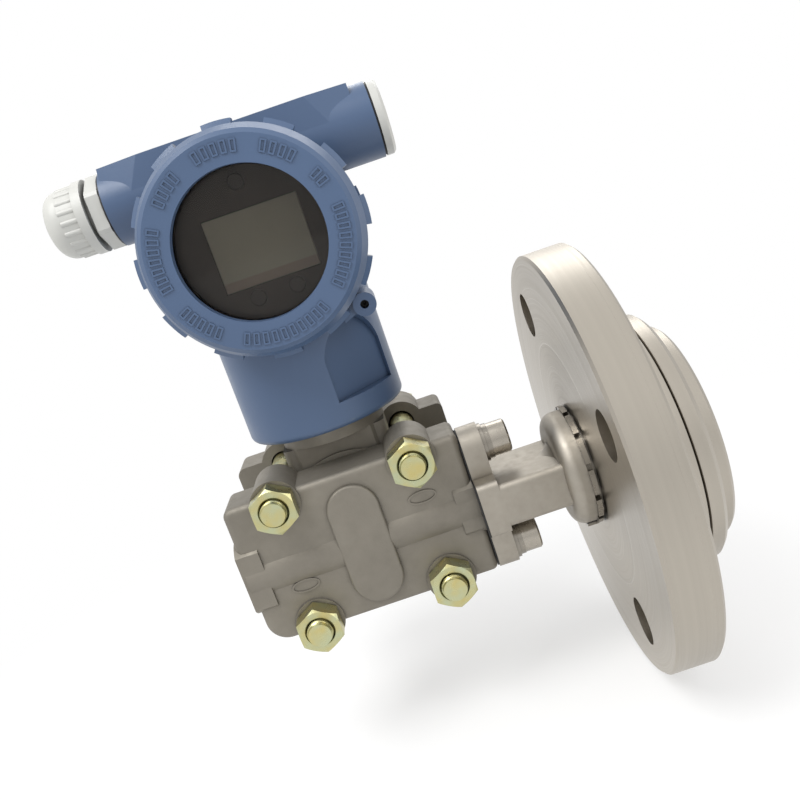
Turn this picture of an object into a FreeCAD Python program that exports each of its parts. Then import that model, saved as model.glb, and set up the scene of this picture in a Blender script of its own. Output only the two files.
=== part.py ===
import FreeCAD, Part
import math
import os

# Differential pressure transmitter with a remote flange seal on its high side.
# Origin: centre of the seal's sealing face. +X leaves that face towards the vessel,
# +Z runs up the housing neck and the display looks along -Y. Millimetres.

V = FreeCAD.Vector
AXIS_X, AXIS_Y, AXIS_Z = V(1, 0, 0), V(0, 1, 0), V(0, 0, 1)

# ---------------------------------------------------------------- clearances
RUN_FIT = 0.08            # radial clearance of screw threads and sliding shafts
LOOSE_FIT = 0.3           # clearance of pieces that only lie inside another
SCREW_CLEARANCE = 0.5     # radial clearance of a bolt or screw in its through hole

# ---------------------------------------------------------------- flange seal
FLANGE_DIAMETER = 165.0
FLANGE_THICKNESS = 17.0
FLANGE_CHAMFER = 1.0
RAISED_FACE_DIAMETER = 102.0
RAISED_FACE_HEIGHT = 3.0
BOLT_CIRCLE = 125.0
BOLT_HOLES = 4
BOLT_HOLE_DIAMETER = 18.0
FLANGE_TURN = 26.0        # degrees that the hole pattern is turned from upright
HEAD_DIAMETER = 97.0     # seal head that the flange clamps
HEAD_THICKNESS = 15.0
HEAD_CHAMFER = 1.6
HEAD_GROOVE = 0.9         # width and depth of the turned groove round the head
SEAT_DIAMETER = 83.0      # step that carries the sealing face
SEAT_HEIGHT = 6.0
SEAT_CHAMFER = 1.2
DIAPHRAGM_DIAMETER = 60.0
DIAPHRAGM_THICKNESS = 0.4
DIAPHRAGM_WAVES = 4
DIAPHRAGM_WAVE_HEIGHT = 0.35
DIAPHRAGM_DEPTH = 1.6     # how far the diaphragm lies below the sealing face
DIAPHRAGM_LAND = 0.92     # inner radius of the land under a diaphragm's rim, as a share
STEM_DIAMETER = 36.0
SPIGOT_DIAMETER = 24.0    # end of the stem, inside the adapter's collar
SPIGOT_LENGTH = 8.0
OIL_BORE = 3.0

# ---------------------------------------------------------------- adapter
TAB_WASHER_THICKNESS = 2.0
TAB_WASHER_DIAMETER = 47.0
TAB_WASHER_NOTCHES = 12
TAB_WASHER_NOTCH = 2.6
BENT_TAB_WIDTH = 6.0
BENT_TAB_LENGTH = 3.5
BENT_TAB_THICKNESS = 1.0
BENT_TAB_TURN = 165.0     # degrees from the top, towards the display side
SHOULDER_RING_THICKNESS = 1.0
ADAPTER_LENGTH = 40.0
ADAPTER_PLATE = 8.0
ADAPTER_WIDTH = 36.0      # along Y
ADAPTER_WAIST_HEIGHT = 21.0
LOBE_DIAMETER = 17.0
BAR_HEIGHT = 17.0
BAR_ROUNDING = 2.5
COLLAR_DIAMETER = 44.5
COLLAR_LENGTH = 8.0
COLLAR_ROUNDING = 5.0
COLLAR_BLEND = 5.0        # hollow curve from the collar down to the bar
ADAPTER_GAP = 0.6         # gasket thickness left open between plate and flange
ADAPTER_GASKET_DIAMETER = 26.0
ADAPTER_SCREW_SPACING = 41.3
ADAPTER_SCREW_DIAMETER = 8.0
ADAPTER_SCREW_GRIP = 11.0  # thread length held in the process flange
SCREW_HEAD_DIAMETER = 13.0
SCREW_HEAD_LENGTH = 7.0
SCREW_SOCKET_WIDTH = 6.0   # across flats
FLAT_WASHER_DIAMETER = 15.0
FLAT_WASHER_THICKNESS = 1.4
SPRING_WASHER_DIAMETER = 13.6
SPRING_WASHER_THICKNESS = 2.0
SPRING_WASHER_GAP = 1.2

# ---------------------------------------------------------------- process flanges
PORT_SPACING = 54.0       # between the two process ports, along Y
PORT_DROP = 1.5           # ports lie this far below the middle of the bolt pattern
PORT_REACH = 45.0         # from the middle of the body to the port's end face
DRAIN_REACH = 47.0        # from the middle of the body to the drain end
FLANGE_FRONT = 9.0        # from port axis to the main outer face
FLANGE_BACK = 11.0        # from port axis to the face on the sensor module
FLANGE_HEIGHT = 57.0
FLANGE_EDGE = 2.5         # rounding of the outer edges
PORT_CORNER = 2.5
DRAIN_CORNER_TOP = 3.5
DRAIN_CORNER_BOTTOM = 8.5
BOLT_SPACING_X = 53.0
BOLT_SPACING_Z = 50.0
BOLT_BOSS_DIAMETER = 19.0
BOLT_BOSS_PROUD = 1.0
BARREL_DIAMETER = 21.2    # round web along the port bore
PORT_BOSS_DIAMETER = 26.0
PORT_BOSS_LENGTH = 8.0
DRAIN_BOSS_DIAMETER = 30.0
DRAIN_BOSS_LENGTH = 9.0
DRAIN_BOSS_PROUD = 1.2    # length that stands out of the flange's end
END_BOSS_PROUD = 1.0      # height of both end bosses above the outer face
PAD_WIDTH = 20.0
PAD_HEIGHT = 48.0
PAD_PROUD = 1.8
PORT_DIAMETER = 11.4
PORT_DEPTH = 17.0
PORT_PASSAGE = 6.0
CHAMBER_DIAMETER = 44.0
CHAMBER_DEPTH = 2.0
GASKET_INNER_DIAMETER = 49.0
GASKET_WIDTH = 3.0
GASKET_THICKNESS = 1.6
DRAIN_PLUG_LENGTH = 12.0
DRAIN_PLUG_SOCKET = 5.0

# ---------------------------------------------------------------- flange bolts
BOLT_DIAMETER = 10.0
NUT_WIDTH = 16.0          # across flats
NUT_THICKNESS = 8.0
BOLT_END = 3.0            # thread that stands out of the nut
BOLT_HEAD_THICKNESS = 6.4

# ---------------------------------------------------------------- sensor module
MODULE_DIAMETER = 61.0
MODULE_WAIST = 4.0        # width of the clamped rim on each side
MODULE_WAIST_DEPTH = 1.5
ISOLATOR_DIAMETER = 42.0
ISOLATOR_THICKNESS = 0.4
ISOLATOR_RECESS = 0.8
ISOLATOR_WAVES = 3
ISOLATOR_WAVE_HEIGHT = 0.25
SHOULDER_WIDTH = 42.0
SHOULDER_TOP = 38.0       # height of the block under the neck, above the ports
SHOULDER_MARGIN = 3.0     # shoulder stays this far inside each module face
MODULE_NECK_DIAMETER = 42.0
MODULE_NECK_TOP = 62.0
NECK_ORING_SECTION = 2.4
NECK_ORING_HEIGHT = 50.0

# ---------------------------------------------------------------- housing
NECK_DIAMETER = 64.0
NECK_BOTTOM = 44.5
NECK_ROUNDING = 2.5
HOUSING_CENTRE = 119.0    # height of the display's centre above the ports
HOUSING_DIAMETER = 77.0
HOUSING_FRONT = 34.0      # from neck axis to the front rim
HOUSING_REAR = 34.0       # from neck axis to the rear rim
COMPARTMENT_DIAMETER = 66.0
THREAD_DIAMETER = 70.0    # inside of both housing mouths
THREAD_DEPTH = 14.0
WALL_FRONT = 14.0         # the wall between the compartments, from the neck axis
WALL_THICKNESS = 4.0
WIRE_PASSAGE = 8.0
CONDUIT_DIAMETER = 28.5
CONDUIT_HEIGHT = 146.5
GLAND_REACH = 49.5        # from neck axis to the end face on the gland side
PLUG_REACH = 54.5
CONDUIT_BORE = 20.0
ROOF_TOP = 161.3
ROOF_END_TOP = 48.3
ROOF_END_BOTTOM = 49.0
ROOF_FACE_TOP = 32.0      # half width of the roof's front facet at the top
ROOF_FACE_BOTTOM = 39.8
ROOF_DEPTH_TOP = 12.5
ROOF_END_DEPTH_TOP = 8.7
ROOF_END_DEPTH_BOTTOM = 12.0
POCKET_WIDTH = 28.0
POCKET_BOTTOM = 54.0
POCKET_TOP = 84.0
POCKET_FLOOR = 27.0       # from neck axis to the pocket's floor
POCKET_ANGLE = 41.0       # degrees round the neck from the display side
LOCK_BOSS_X = 29.0
LOCK_BOSS_DROP = 33.2     # below the display's centre
LOCK_BOSS_DIAMETER = 8.6
LOCK_SCREW_DIAMETER = 3.0
LOCK_SCREW_LENGTH = 7.0
LOCK_SCREW_RECESS = 5.0
SWIVEL_SCREW_DIAMETER = 5.0
SWIVEL_SCREW_LENGTH = 9.0
SWIVEL_SCREW_HEIGHT = 56.0

# ---------------------------------------------------------------- covers
COVER_PITCH = 2.0
COVER_THREAD_LENGTH = 12.0
COVER_SKIRT_DIAMETER = 78.6
COVER_FACE_DIAMETER = 74.0
COVER_FACE_ROUNDING = 1.6
COVER_FACE_DEPTH = 4.0     # plain front band before the skirt widens
COVER_FLARE = 5.0          # length over which it widens
FRONT_COVER_DEPTH = 17.0
REAR_COVER_DEPTH = 13.0
COVER_WALL = 4.0
LUG_COUNT = 12
LUG_DIAMETER = 82.4
LUG_LENGTH = 7.0
LUG_SLOPE = 1.6
LUG_SWEEP = 14.5           # degrees that each lug spans
LUG_TURN = 2.7             # degrees of the first lug from the top
WINDOW_DIAMETER = 52.0
WINDOW_LIP = 4.5
GLASS_DIAMETER = 60.0
GLASS_THICKNESS = 7.0
WINDOW_GASKET_THICKNESS = 1.0
GLASS_RING_THICKNESS = 3.0
GLASS_RING_OPENING = 54.0
COVER_ORING_SECTION = 2.1
COVER_ORING_GROOVE = 2.8
COVER_ORING_DEPTH = 2.6    # groove floor below the housing's mouth

# ---------------------------------------------------------------- display
BEZEL_DIAMETER = 60.0
BEZEL_THICKNESS = 2.5
BEZEL_SETBACK = 1.0        # behind the housing's front rim
LCD_WIDTH = 35.0
LCD_HEIGHT = 26.5
LCD_THICKNESS = 3.2
LCD_FRAME = 1.5            # rim of the display cell that rests behind the bezel
LCD_X = 1.8
LCD_Z = -1.5
BUTTON_DIAMETER = 5.6
BUTTON_TRAVEL = 0.6
BUTTON_PROUD = 1.0
BUTTON_FLANGE = 6.6
BUTTON_FLANGE_THICKNESS = 0.8
UPPER_BUTTON = (1.0, 21.0)
LOWER_BUTTON_Z = -18.8
LOWER_BUTTON_SPACING = 14.4
BOARD_DIAMETER = 58.0
BOARD_THICKNESS = 1.6
MODULE_CUP_DIAMETER = 59.0

# ---------------------------------------------------------------- terminals
TERMINAL_WIDTH = 46.0
TERMINAL_HEIGHT = 22.0
TERMINAL_DEPTH = 12.0
TERMINAL_SCREWS = 3
TERMINAL_PITCH = 14.0
TERMINAL_SCREW_DIAMETER = 7.0

# ---------------------------------------------------------------- cable entries
GLAND_HEX_WIDTH = 25.0     # across flats
GLAND_HEX_LENGTH = 5.0
GLAND_THREAD_LENGTH = 9.0
GLAND_NECK_DIAMETER = 20.0
GLAND_NECK_LENGTH = 9.5
GLAND_NUT_DIAMETER = 25.8
GLAND_NUT_COLLAR = 3.6     # plain ring at the nut's open end
GLAND_NUT_LENGTH = 17.0
GLAND_NUT_GAP = 1.6
GLAND_NUT_MOUTH = 12.0
GLAND_NUT_DOME = 7.0
GLAND_RIB = 2.2
GLAND_RIBS = 20
GLAND_BORE = 14.0
GLAND_CABLE_BORE = 9.0
GLAND_PITCH = 1.5
GLAND_TRAVEL = 4.5
ENTRY_WASHER_THICKNESS = 0.8
PLUG_HEAD_DIAMETER = 28.0
PLUG_HEAD_THICKNESS = 3.6
PLUG_THREAD_LENGTH = 9.0
PLUG_SOCKET_WIDTH = 10.0
PLUG_SOCKET_DEPTH = 5.0
PLUG_WALL = 2.5

# ---------------------------------------------------------------- derived places
HEAD_FRONT = -SEAT_HEIGHT
HEAD_BACK = HEAD_FRONT - HEAD_THICKNESS
RIM_FRONT = HEAD_BACK - RAISED_FACE_HEIGHT
RIM_BACK = RIM_FRONT - FLANGE_THICKNESS
COLLAR_FACE = RIM_BACK - SHOULDER_RING_THICKNESS - TAB_WASHER_THICKNESS
PLATE_BACK = COLLAR_FACE - ADAPTER_LENGTH
PLATE_FRONT = PLATE_BACK + ADAPTER_PLATE
PORT_FACE = PLATE_BACK - ADAPTER_GAP
BODY_X = PORT_FACE - PORT_REACH
MID_Y = PORT_SPACING / 2
MODULE_HALF = MID_Y - FLANGE_BACK
BOSS_FACE = FLANGE_FRONT + BOLT_BOSS_PROUD
BOLT_PLACES = [(BODY_X + sx * BOLT_SPACING_X / 2, PORT_DROP + sz * BOLT_SPACING_Z / 2)
               for sz in (1, -1) for sx in (-1, 1)]
COVER_FRONT = MID_Y - HOUSING_FRONT - FRONT_COVER_DEPTH
FRONT_RIM = MID_Y - HOUSING_FRONT
REAR_RIM = MID_Y + HOUSING_REAR
BEZEL_FACE = FRONT_RIM + BEZEL_SETBACK
WALL_FACE = MID_Y - WALL_FRONT
NECK_BORE_RADIUS = MODULE_NECK_DIAMETER / 2 + RUN_FIT
NECK_BORE_TOP = MODULE_NECK_TOP + LOOSE_FIT
BUTTON_PLACES = [UPPER_BUTTON,
                 (LCD_X - LOWER_BUTTON_SPACING / 2, LOWER_BUTTON_Z),
                 (LCD_X + LOWER_BUTTON_SPACING / 2, LOWER_BUTTON_Z)]


# ---------------------------------------------------------------- helpers
def rod(start, end, diameter):
    """Cylinder between two points."""
    axis = end - start
    return Part.makeCylinder(diameter / 2, axis.Length, start, axis)


def tube(start, end, outer, inner):
    return rod(start, end, outer).cut(rod(start, end, inner))


def block(low, high):
    """Box between two corners."""
    size = high - low
    return Part.makeBox(size.x, size.y, size.z, low)


def polygon_face(points):
    return Part.Face(Part.makePolygon(points + [points[0]]))


def turned(points, centre, axis, sweep=360):
    """Solid of revolution; points are (distance along the axis, radius)."""
    side = V(0, 1, 0) if abs(axis.x) > 0.5 else V(1, 0, 0)
    outline = [centre + axis * along + side * radius for along, radius in points]
    return polygon_face(outline).revolve(centre, axis, sweep)


def hexagon(centre, axis, width, length):
    """Hexagonal bar of a width across flats."""
    corner = width / math.sqrt(3)
    side = V(0, 0, 1) if abs(axis.z) < 0.5 else V(1, 0, 0)
    across = axis.cross(side)
    points = []
    for i in range(6):
        angle = math.radians(60 * i)
        points.append(centre + side * (corner * math.cos(angle)) + across * (corner * math.sin(angle)))
    return polygon_face(points).extrude(axis * length)


def stadium(centre, half_width, half_height, depth):
    """Upright stadium on the XZ plane, extruded along -Y by depth."""
    reach = half_height - half_width
    low, high = centre - AXIS_Z * reach, centre + AXIS_Z * reach
    out = AXIS_Y * -depth
    body = rod(low, low + out, 2 * half_width).fuse(rod(high, high + out, 2 * half_width))
    middle = block(V(centre.x - half_width, centre.y - depth, low.z),
                   V(centre.x + half_width, centre.y, high.z))
    return body.fuse(middle).removeSplitter()


def edges_where(shape, test):
    return [edge for edge in shape.Edges if test(edge)]


def lies_at(edge, direction, value):
    """True when the whole edge lies in the plane of one coordinate."""
    box = edge.BoundBox
    low = V(box.XMin, box.YMin, box.ZMin).dot(direction)
    high = V(box.XMax, box.YMax, box.ZMax).dot(direction)
    return abs(low - value) < 0.01 and abs(high - value) < 0.01


def ring_seal(centre, axis, middle_diameter, section):
    return Part.makeTorus(middle_diameter / 2, section / 2, centre, axis)


def about_mid_plane(shape):
    """Mirror image on the other side of the sensor module."""
    return shape.mirror(V(0, MID_Y, 0), AXIS_Y)


# ---------------------------------------------------------------- flange seal
def mounting_flange():
    rim, raised = FLANGE_DIAMETER / 2, RAISED_FACE_DIAMETER / 2
    bore = STEM_DIAMETER / 2 + LOOSE_FIT
    c = FLANGE_CHAMFER
    body = turned([(RIM_BACK, bore), (RIM_BACK, rim - c), (RIM_BACK + c, rim), (RIM_FRONT - c, rim),
                   (RIM_FRONT, rim - c), (RIM_FRONT, raised), (HEAD_BACK, raised),
                   (HEAD_BACK, bore)], V(0, 0, 0), AXIS_X)
    for i in range(BOLT_HOLES):
        angle = math.radians(FLANGE_TURN + 360.0 * i / BOLT_HOLES)
        y, z = BOLT_CIRCLE / 2 * math.sin(angle), BOLT_CIRCLE / 2 * math.cos(angle)
        body = body.cut(rod(V(RIM_BACK - 1, y, z), V(RIM_FRONT + 1, y, z), BOLT_HOLE_DIAMETER))
    return body


def seal_head():
    head, seat, stem = HEAD_DIAMETER / 2, SEAT_DIAMETER / 2, STEM_DIAMETER / 2
    well, pool = DIAPHRAGM_DIAMETER / 2 + LOOSE_FIT, DIAPHRAGM_DIAMETER / 2 * DIAPHRAGM_LAND
    land = -DIAPHRAGM_DEPTH - DIAPHRAGM_THICKNESS
    floor = land - DIAPHRAGM_WAVE_HEIGHT - LOOSE_FIT
    spigot_end = COLLAR_FACE - SPIGOT_LENGTH
    groove = HEAD_BACK + HEAD_THICKNESS * 0.53
    bore = OIL_BORE / 2
    outline = [(spigot_end, bore), (spigot_end, SPIGOT_DIAMETER / 2), (COLLAR_FACE, SPIGOT_DIAMETER / 2),
               (COLLAR_FACE, stem), (HEAD_BACK, stem), (HEAD_BACK, head),
               (groove, head), (groove + HEAD_GROOVE / 2, head - HEAD_GROOVE),
               (groove + HEAD_GROOVE, head), (HEAD_FRONT - HEAD_CHAMFER, head),
               (HEAD_FRONT, head - HEAD_CHAMFER), (HEAD_FRONT, seat),
               (-SEAT_CHAMFER, seat), (0, seat - SEAT_CHAMFER), (0, well),
               (land, well), (land, pool), (floor, pool), (floor, bore)]
    return turned(outline, V(0, 0, 0), AXIS_X)


def wavy_disc(face, radius, thickness, waves, height, centre, axis):
    """Thin disc with round corrugations, its rim flat; face is the rim's front along axis."""
    flat = radius * (DIAPHRAGM_LAND - 0.03)
    steps = waves * 6
    front = []
    for i in range(steps + 1):
        r = flat * i / steps
        front.append((face - height / 2 + height / 2 * math.cos(2 * math.pi * waves * i / steps), r))
    front.append((face, radius))
    back = [(along - thickness, r) for along, r in reversed(front)]
    return turned(front + back, centre, axis)


def process_diaphragm():
    return wavy_disc(-DIAPHRAGM_DEPTH, DIAPHRAGM_DIAMETER / 2, DIAPHRAGM_THICKNESS, DIAPHRAGM_WAVES,
                     DIAPHRAGM_WAVE_HEIGHT, V(0, 0, 0), AXIS_X)


def tab_washer():
    low, high = COLLAR_FACE, COLLAR_FACE + TAB_WASHER_THICKNESS
    radius = TAB_WASHER_DIAMETER / 2
    washer = tube(V(low, 0, 0), V(high, 0, 0), TAB_WASHER_DIAMETER, STEM_DIAMETER + 2 * LOOSE_FIT)
    half = TAB_WASHER_NOTCH / 2
    for i in range(TAB_WASHER_NOTCHES):
        notch = block(V(low - 1, -half, radius - TAB_WASHER_NOTCH), V(high + 1, half, radius + 1))
        notch.rotate(V(0, 0, 0), AXIS_X, 360.0 * (i + 0.5) / TAB_WASHER_NOTCHES)
        washer = washer.cut(notch)
    inner = COLLAR_DIAMETER / 2 + LOOSE_FIT
    tab = block(V(low - BENT_TAB_LENGTH, -BENT_TAB_WIDTH / 2, inner),
                V(low + TAB_WASHER_THICKNESS / 2, BENT_TAB_WIDTH / 2, inner + BENT_TAB_THICKNESS))
    tab.rotate(V(0, 0, 0), AXIS_X, BENT_TAB_TURN)
    return washer.fuse(tab).removeSplitter()


def shoulder_ring():
    return tube(V(RIM_BACK - SHOULDER_RING_THICKNESS, 0, 0), V(RIM_BACK, 0, 0),
                TAB_WASHER_DIAMETER - 2 * TAB_WASHER_NOTCH, STEM_DIAMETER + 2 * LOOSE_FIT)


# ---------------------------------------------------------------- adapter
def adapter_plate():
    half_width, half_waist = ADAPTER_WIDTH / 2, ADAPTER_WAIST_HEIGHT / 2
    plate = block(V(PLATE_BACK, -half_width, -half_waist), V(PLATE_FRONT, half_width, half_waist))
    plate = plate.makeFillet(BAR_ROUNDING, edges_where(plate, lambda e: abs(e.BoundBox.XLength) > 1))
    for sign in (1, -1):
        z = sign * ADAPTER_SCREW_SPACING / 2
        plate = plate.fuse(rod(V(PLATE_BACK, 0, z), V(PLATE_FRONT, 0, z), LOBE_DIAMETER))
        low, high = sorted((0, z))
        plate = plate.fuse(block(V(PLATE_BACK, -LOBE_DIAMETER / 2, low),
                                 V(PLATE_FRONT, LOBE_DIAMETER / 2, high)))
    return plate.removeSplitter()


def adapter_collar():
    """Round collar that rounds over and then sweeps down to the bar."""
    radius, rounding, blend = COLLAR_DIAMETER / 2, COLLAR_ROUNDING, COLLAR_BLEND
    back, root = COLLAR_FACE - COLLAR_LENGTH, BAR_HEIGHT / 2
    bend, diagonal = back + rounding, math.sqrt(0.5)
    crown = V(bend - rounding * diagonal, radius - rounding + rounding * diagonal, 0)
    hollow = V(back - blend + blend * diagonal, root + blend - blend * diagonal, 0)
    start, foot = V(COLLAR_FACE, 0, 0), V(back - blend, 0, 0)
    outline = Part.Wire([
        Part.LineSegment(start, V(COLLAR_FACE, radius, 0)).toShape(),
        Part.LineSegment(V(COLLAR_FACE, radius, 0), V(bend, radius, 0)).toShape(),
        Part.Arc(V(bend, radius, 0), crown, V(back, radius - rounding, 0)).toShape(),
        Part.LineSegment(V(back, radius - rounding, 0), V(back, root + blend, 0)).toShape(),
        Part.Arc(V(back, root + blend, 0), hollow, V(back - blend, root, 0)).toShape(),
        Part.LineSegment(V(back - blend, root, 0), foot).toShape(),
        Part.LineSegment(foot, start).toShape()])
    return Part.Face(outline).revolve(V(0, 0, 0), AXIS_X, 360)


def seal_adapter():
    bar = block(V(PLATE_FRONT - ADAPTER_PLATE / 2, -ADAPTER_WIDTH / 2, -BAR_HEIGHT / 2),
                V(COLLAR_FACE - COLLAR_LENGTH / 2, ADAPTER_WIDTH / 2, BAR_HEIGHT / 2))
    bar = bar.makeFillet(BAR_ROUNDING, edges_where(bar, lambda e: abs(e.BoundBox.XLength) > 1))
    body = adapter_plate().fuse(bar).fuse(adapter_collar()).removeSplitter()
    socket = rod(V(COLLAR_FACE - SPIGOT_LENGTH - LOOSE_FIT, 0, 0), V(COLLAR_FACE + 1, 0, 0),
                 SPIGOT_DIAMETER + 2 * RUN_FIT)
    body = body.cut(socket)
    body = body.cut(rod(V(PLATE_BACK - 1, 0, 0), V(COLLAR_FACE, 0, 0), OIL_BORE))
    for sign in (1, -1):
        z = sign * ADAPTER_SCREW_SPACING / 2
        body = body.cut(rod(V(PLATE_BACK - 1, 0, z), V(PLATE_FRONT + 1, 0, z),
                            ADAPTER_SCREW_DIAMETER + 2 * SCREW_CLEARANCE))
    return body


def adapter_gasket():
    return tube(V(PORT_FACE, 0, 0), V(PLATE_BACK, 0, 0), ADAPTER_GASKET_DIAMETER, PORT_DIAMETER + 2)


def adapter_screw(sign):
    z = sign * ADAPTER_SCREW_SPACING / 2
    seat = PLATE_FRONT + FLAT_WASHER_THICKNESS + SPRING_WASHER_THICKNESS
    head_end = seat + SCREW_HEAD_LENGTH
    c = SCREW_HEAD_DIAMETER * 0.05
    radius, shank = SCREW_HEAD_DIAMETER / 2, ADAPTER_SCREW_DIAMETER / 2
    tip = PORT_FACE - ADAPTER_SCREW_GRIP
    screw = turned([(tip, 0), (tip, shank - c), (tip + c, shank), (seat, shank), (seat, radius),
                    (head_end - c, radius), (head_end, radius - c), (head_end, 0)],
                   V(0, 0, z), AXIS_X)
    socket = hexagon(V(head_end - SCREW_HEAD_LENGTH / 2, 0, z), AXIS_X, SCREW_SOCKET_WIDTH,
                     SCREW_HEAD_LENGTH)
    return screw.cut(socket)


def flat_washer(sign):
    z = sign * ADAPTER_SCREW_SPACING / 2
    return tube(V(PLATE_FRONT, 0, z), V(PLATE_FRONT + FLAT_WASHER_THICKNESS, 0, z),
                FLAT_WASHER_DIAMETER, ADAPTER_SCREW_DIAMETER + 2 * LOOSE_FIT)


def spring_washer(sign):
    z = sign * ADAPTER_SCREW_SPACING / 2
    low = PLATE_FRONT + FLAT_WASHER_THICKNESS
    high = low + SPRING_WASHER_THICKNESS
    washer = tube(V(low, 0, z), V(high, 0, z), SPRING_WASHER_DIAMETER,
                  ADAPTER_SCREW_DIAMETER + 2 * LOOSE_FIT)
    half = SPRING_WASHER_GAP / 2
    outward = SPRING_WASHER_DIAMETER
    return washer.cut(block(V(low - 1, 0, z - half), V(high + 1, outward, z + half)))


# ---------------------------------------------------------------- process flanges
def flange_outline():
    """Face of the flange's outline on its sensor side, rounder at the drain end."""
    left, right = BODY_X - DRAIN_REACH, BODY_X + PORT_REACH
    low, high = PORT_DROP - FLANGE_HEIGHT / 2, PORT_DROP + FLANGE_HEIGHT / 2
    body = block(V(left, -FLANGE_FRONT, low), V(right, FLANGE_BACK, high))
    corners = ((left, high, DRAIN_CORNER_TOP), (left, low, DRAIN_CORNER_BOTTOM),
               (right, high, PORT_CORNER), (right, low, PORT_CORNER))
    for x, z, rounding in corners:
        corner = edges_where(body, lambda e: e.BoundBox.YLength > 1 and lies_at(e, AXIS_X, x)
                             and lies_at(e, AXIS_Z, z))
        body = body.makeFillet(rounding, corner)
    front = edges_where(body, lambda e: lies_at(e, AXIS_Y, -FLANGE_FRONT))
    return body.makeFillet(FLANGE_EDGE, front)


def end_boss(face, inward, diameter):
    """Round boss at one end of the port bore, cut level on both of its sides."""
    boss = rod(V(face, 0, 0), V(face + inward, 0, 0), diameter)
    low, high = sorted((face, face + inward))
    return boss.common(block(V(low, -FLANGE_FRONT - END_BOSS_PROUD, -diameter), V(high, FLANGE_BACK, diameter)))


def bored_passages():
    """Port, drain and the passages that lead both into the sensor chamber."""
    port_end, drain_end = BODY_X + PORT_REACH, BODY_X - DRAIN_REACH
    cut = rod(V(port_end - PORT_DEPTH, 0, 0), V(port_end + 1, 0, 0), PORT_DIAMETER)
    cut = cut.fuse(rod(V(drain_end - DRAIN_BOSS_PROUD - 1, 0, 0), V(drain_end + PORT_DEPTH, 0, 0),
                       PORT_DIAMETER))
    cut = cut.fuse(rod(V(drain_end, 0, 0), V(port_end - 1, 0, 0), PORT_PASSAGE))
    cut = cut.fuse(rod(V(BODY_X, 0, 0), V(BODY_X, FLANGE_BACK + 1, 0), PORT_PASSAGE))
    cut = cut.fuse(rod(V(BODY_X, FLANGE_BACK - CHAMBER_DEPTH, PORT_DROP),
                       V(BODY_X, FLANGE_BACK + 1, PORT_DROP), CHAMBER_DIAMETER))
    return cut.fuse(tube(V(BODY_X, FLANGE_BACK - GASKET_THICKNESS, PORT_DROP),
                         V(BODY_X, FLANGE_BACK + 1, PORT_DROP),
                         GASKET_INNER_DIAMETER + 2 * GASKET_WIDTH, GASKET_INNER_DIAMETER))


def process_flange():
    """Flange on the display side; its twin is the mirror image."""
    body = flange_outline()
    for x, z in BOLT_PLACES:
        body = body.fuse(rod(V(x, -BOSS_FACE, z), V(x, FLANGE_BACK, z), BOLT_BOSS_DIAMETER))
    port_end, drain_end = BODY_X + PORT_REACH, BODY_X - DRAIN_REACH
    body = body.fuse(rod(V(drain_end, 0, 0), V(port_end, 0, 0), BARREL_DIAMETER))
    body = body.fuse(end_boss(port_end, -PORT_BOSS_LENGTH, PORT_BOSS_DIAMETER))
    body = body.fuse(end_boss(drain_end - DRAIN_BOSS_PROUD, DRAIN_BOSS_LENGTH, DRAIN_BOSS_DIAMETER))
    pad = stadium(V(BODY_X, 0, PORT_DROP / 2), PAD_WIDTH / 2, PAD_HEIGHT / 2, FLANGE_FRONT + PAD_PROUD)
    pad_rim = edges_where(pad, lambda e: lies_at(e, AXIS_Y, -FLANGE_FRONT - PAD_PROUD))
    body = body.fuse(pad.makeFillet(PAD_PROUD / 2, pad_rim)).removeSplitter()
    body = body.cut(bored_passages())
    for x, z in BOLT_PLACES:
        body = body.cut(rod(V(x, -BOSS_FACE - 1, z), V(x, FLANGE_BACK + 1, z),
                            BOLT_DIAMETER + 2 * SCREW_CLEARANCE))
    for sign in (1, -1):
        z = sign * ADAPTER_SCREW_SPACING / 2
        body = body.cut(rod(V(PORT_FACE - ADAPTER_SCREW_GRIP - 1, 0, z), V(PORT_FACE + 1, 0, z),
                            ADAPTER_SCREW_DIAMETER + 2 * RUN_FIT))
    return body


def drain_plug():
    start = BODY_X - DRAIN_REACH - DRAIN_BOSS_PROUD
    plug = rod(V(start, 0, 0), V(start + DRAIN_PLUG_LENGTH, 0, 0), PORT_DIAMETER - 2 * RUN_FIT)
    return plug.cut(hexagon(V(start - 1, 0, 0), AXIS_X, DRAIN_PLUG_SOCKET, DRAIN_PLUG_LENGTH / 2 + 1))


def flange_gasket():
    start = V(BODY_X, FLANGE_BACK - GASKET_THICKNESS, PORT_DROP)
    end = V(BODY_X, FLANGE_BACK, PORT_DROP)
    return tube(start, end, GASKET_INNER_DIAMETER + 2 * GASKET_WIDTH - 2 * RUN_FIT,
                GASKET_INNER_DIAMETER + 2 * RUN_FIT)


def flange_bolt(x, z):
    start, end = -BOSS_FACE - NUT_THICKNESS - BOLT_END, PORT_SPACING + BOSS_FACE
    c, radius = BOLT_DIAMETER * 0.08, BOLT_DIAMETER / 2
    shank = turned([(start, 0), (start, radius - c), (start + c, radius), (end, radius), (end, 0)],
                   V(x, 0, z), AXIS_Y)
    head = hexagon(V(x, end, z), AXIS_Y, NUT_WIDTH, BOLT_HEAD_THICKNESS)
    return shank.fuse(rounded_hexagon(head, V(x, end, z), BOLT_HEAD_THICKNESS, False))


def rounded_hexagon(hexagonal, base, thickness, both_ends):
    """Hexagon with the cone-cut corners of a nut or bolt head, pointing along Y."""
    corner, flat = NUT_WIDTH / math.sqrt(3), NUT_WIDTH / 2
    rise = (corner - flat) * 0.7
    near = rise if both_ends else 0
    outline = [(0, 0), (0, flat if both_ends else corner + 1), (near, corner + (0 if both_ends else 1)),
               (thickness - rise, corner), (thickness, flat), (thickness, 0)]
    return hexagonal.common(turned(outline, base, AXIS_Y))


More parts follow.
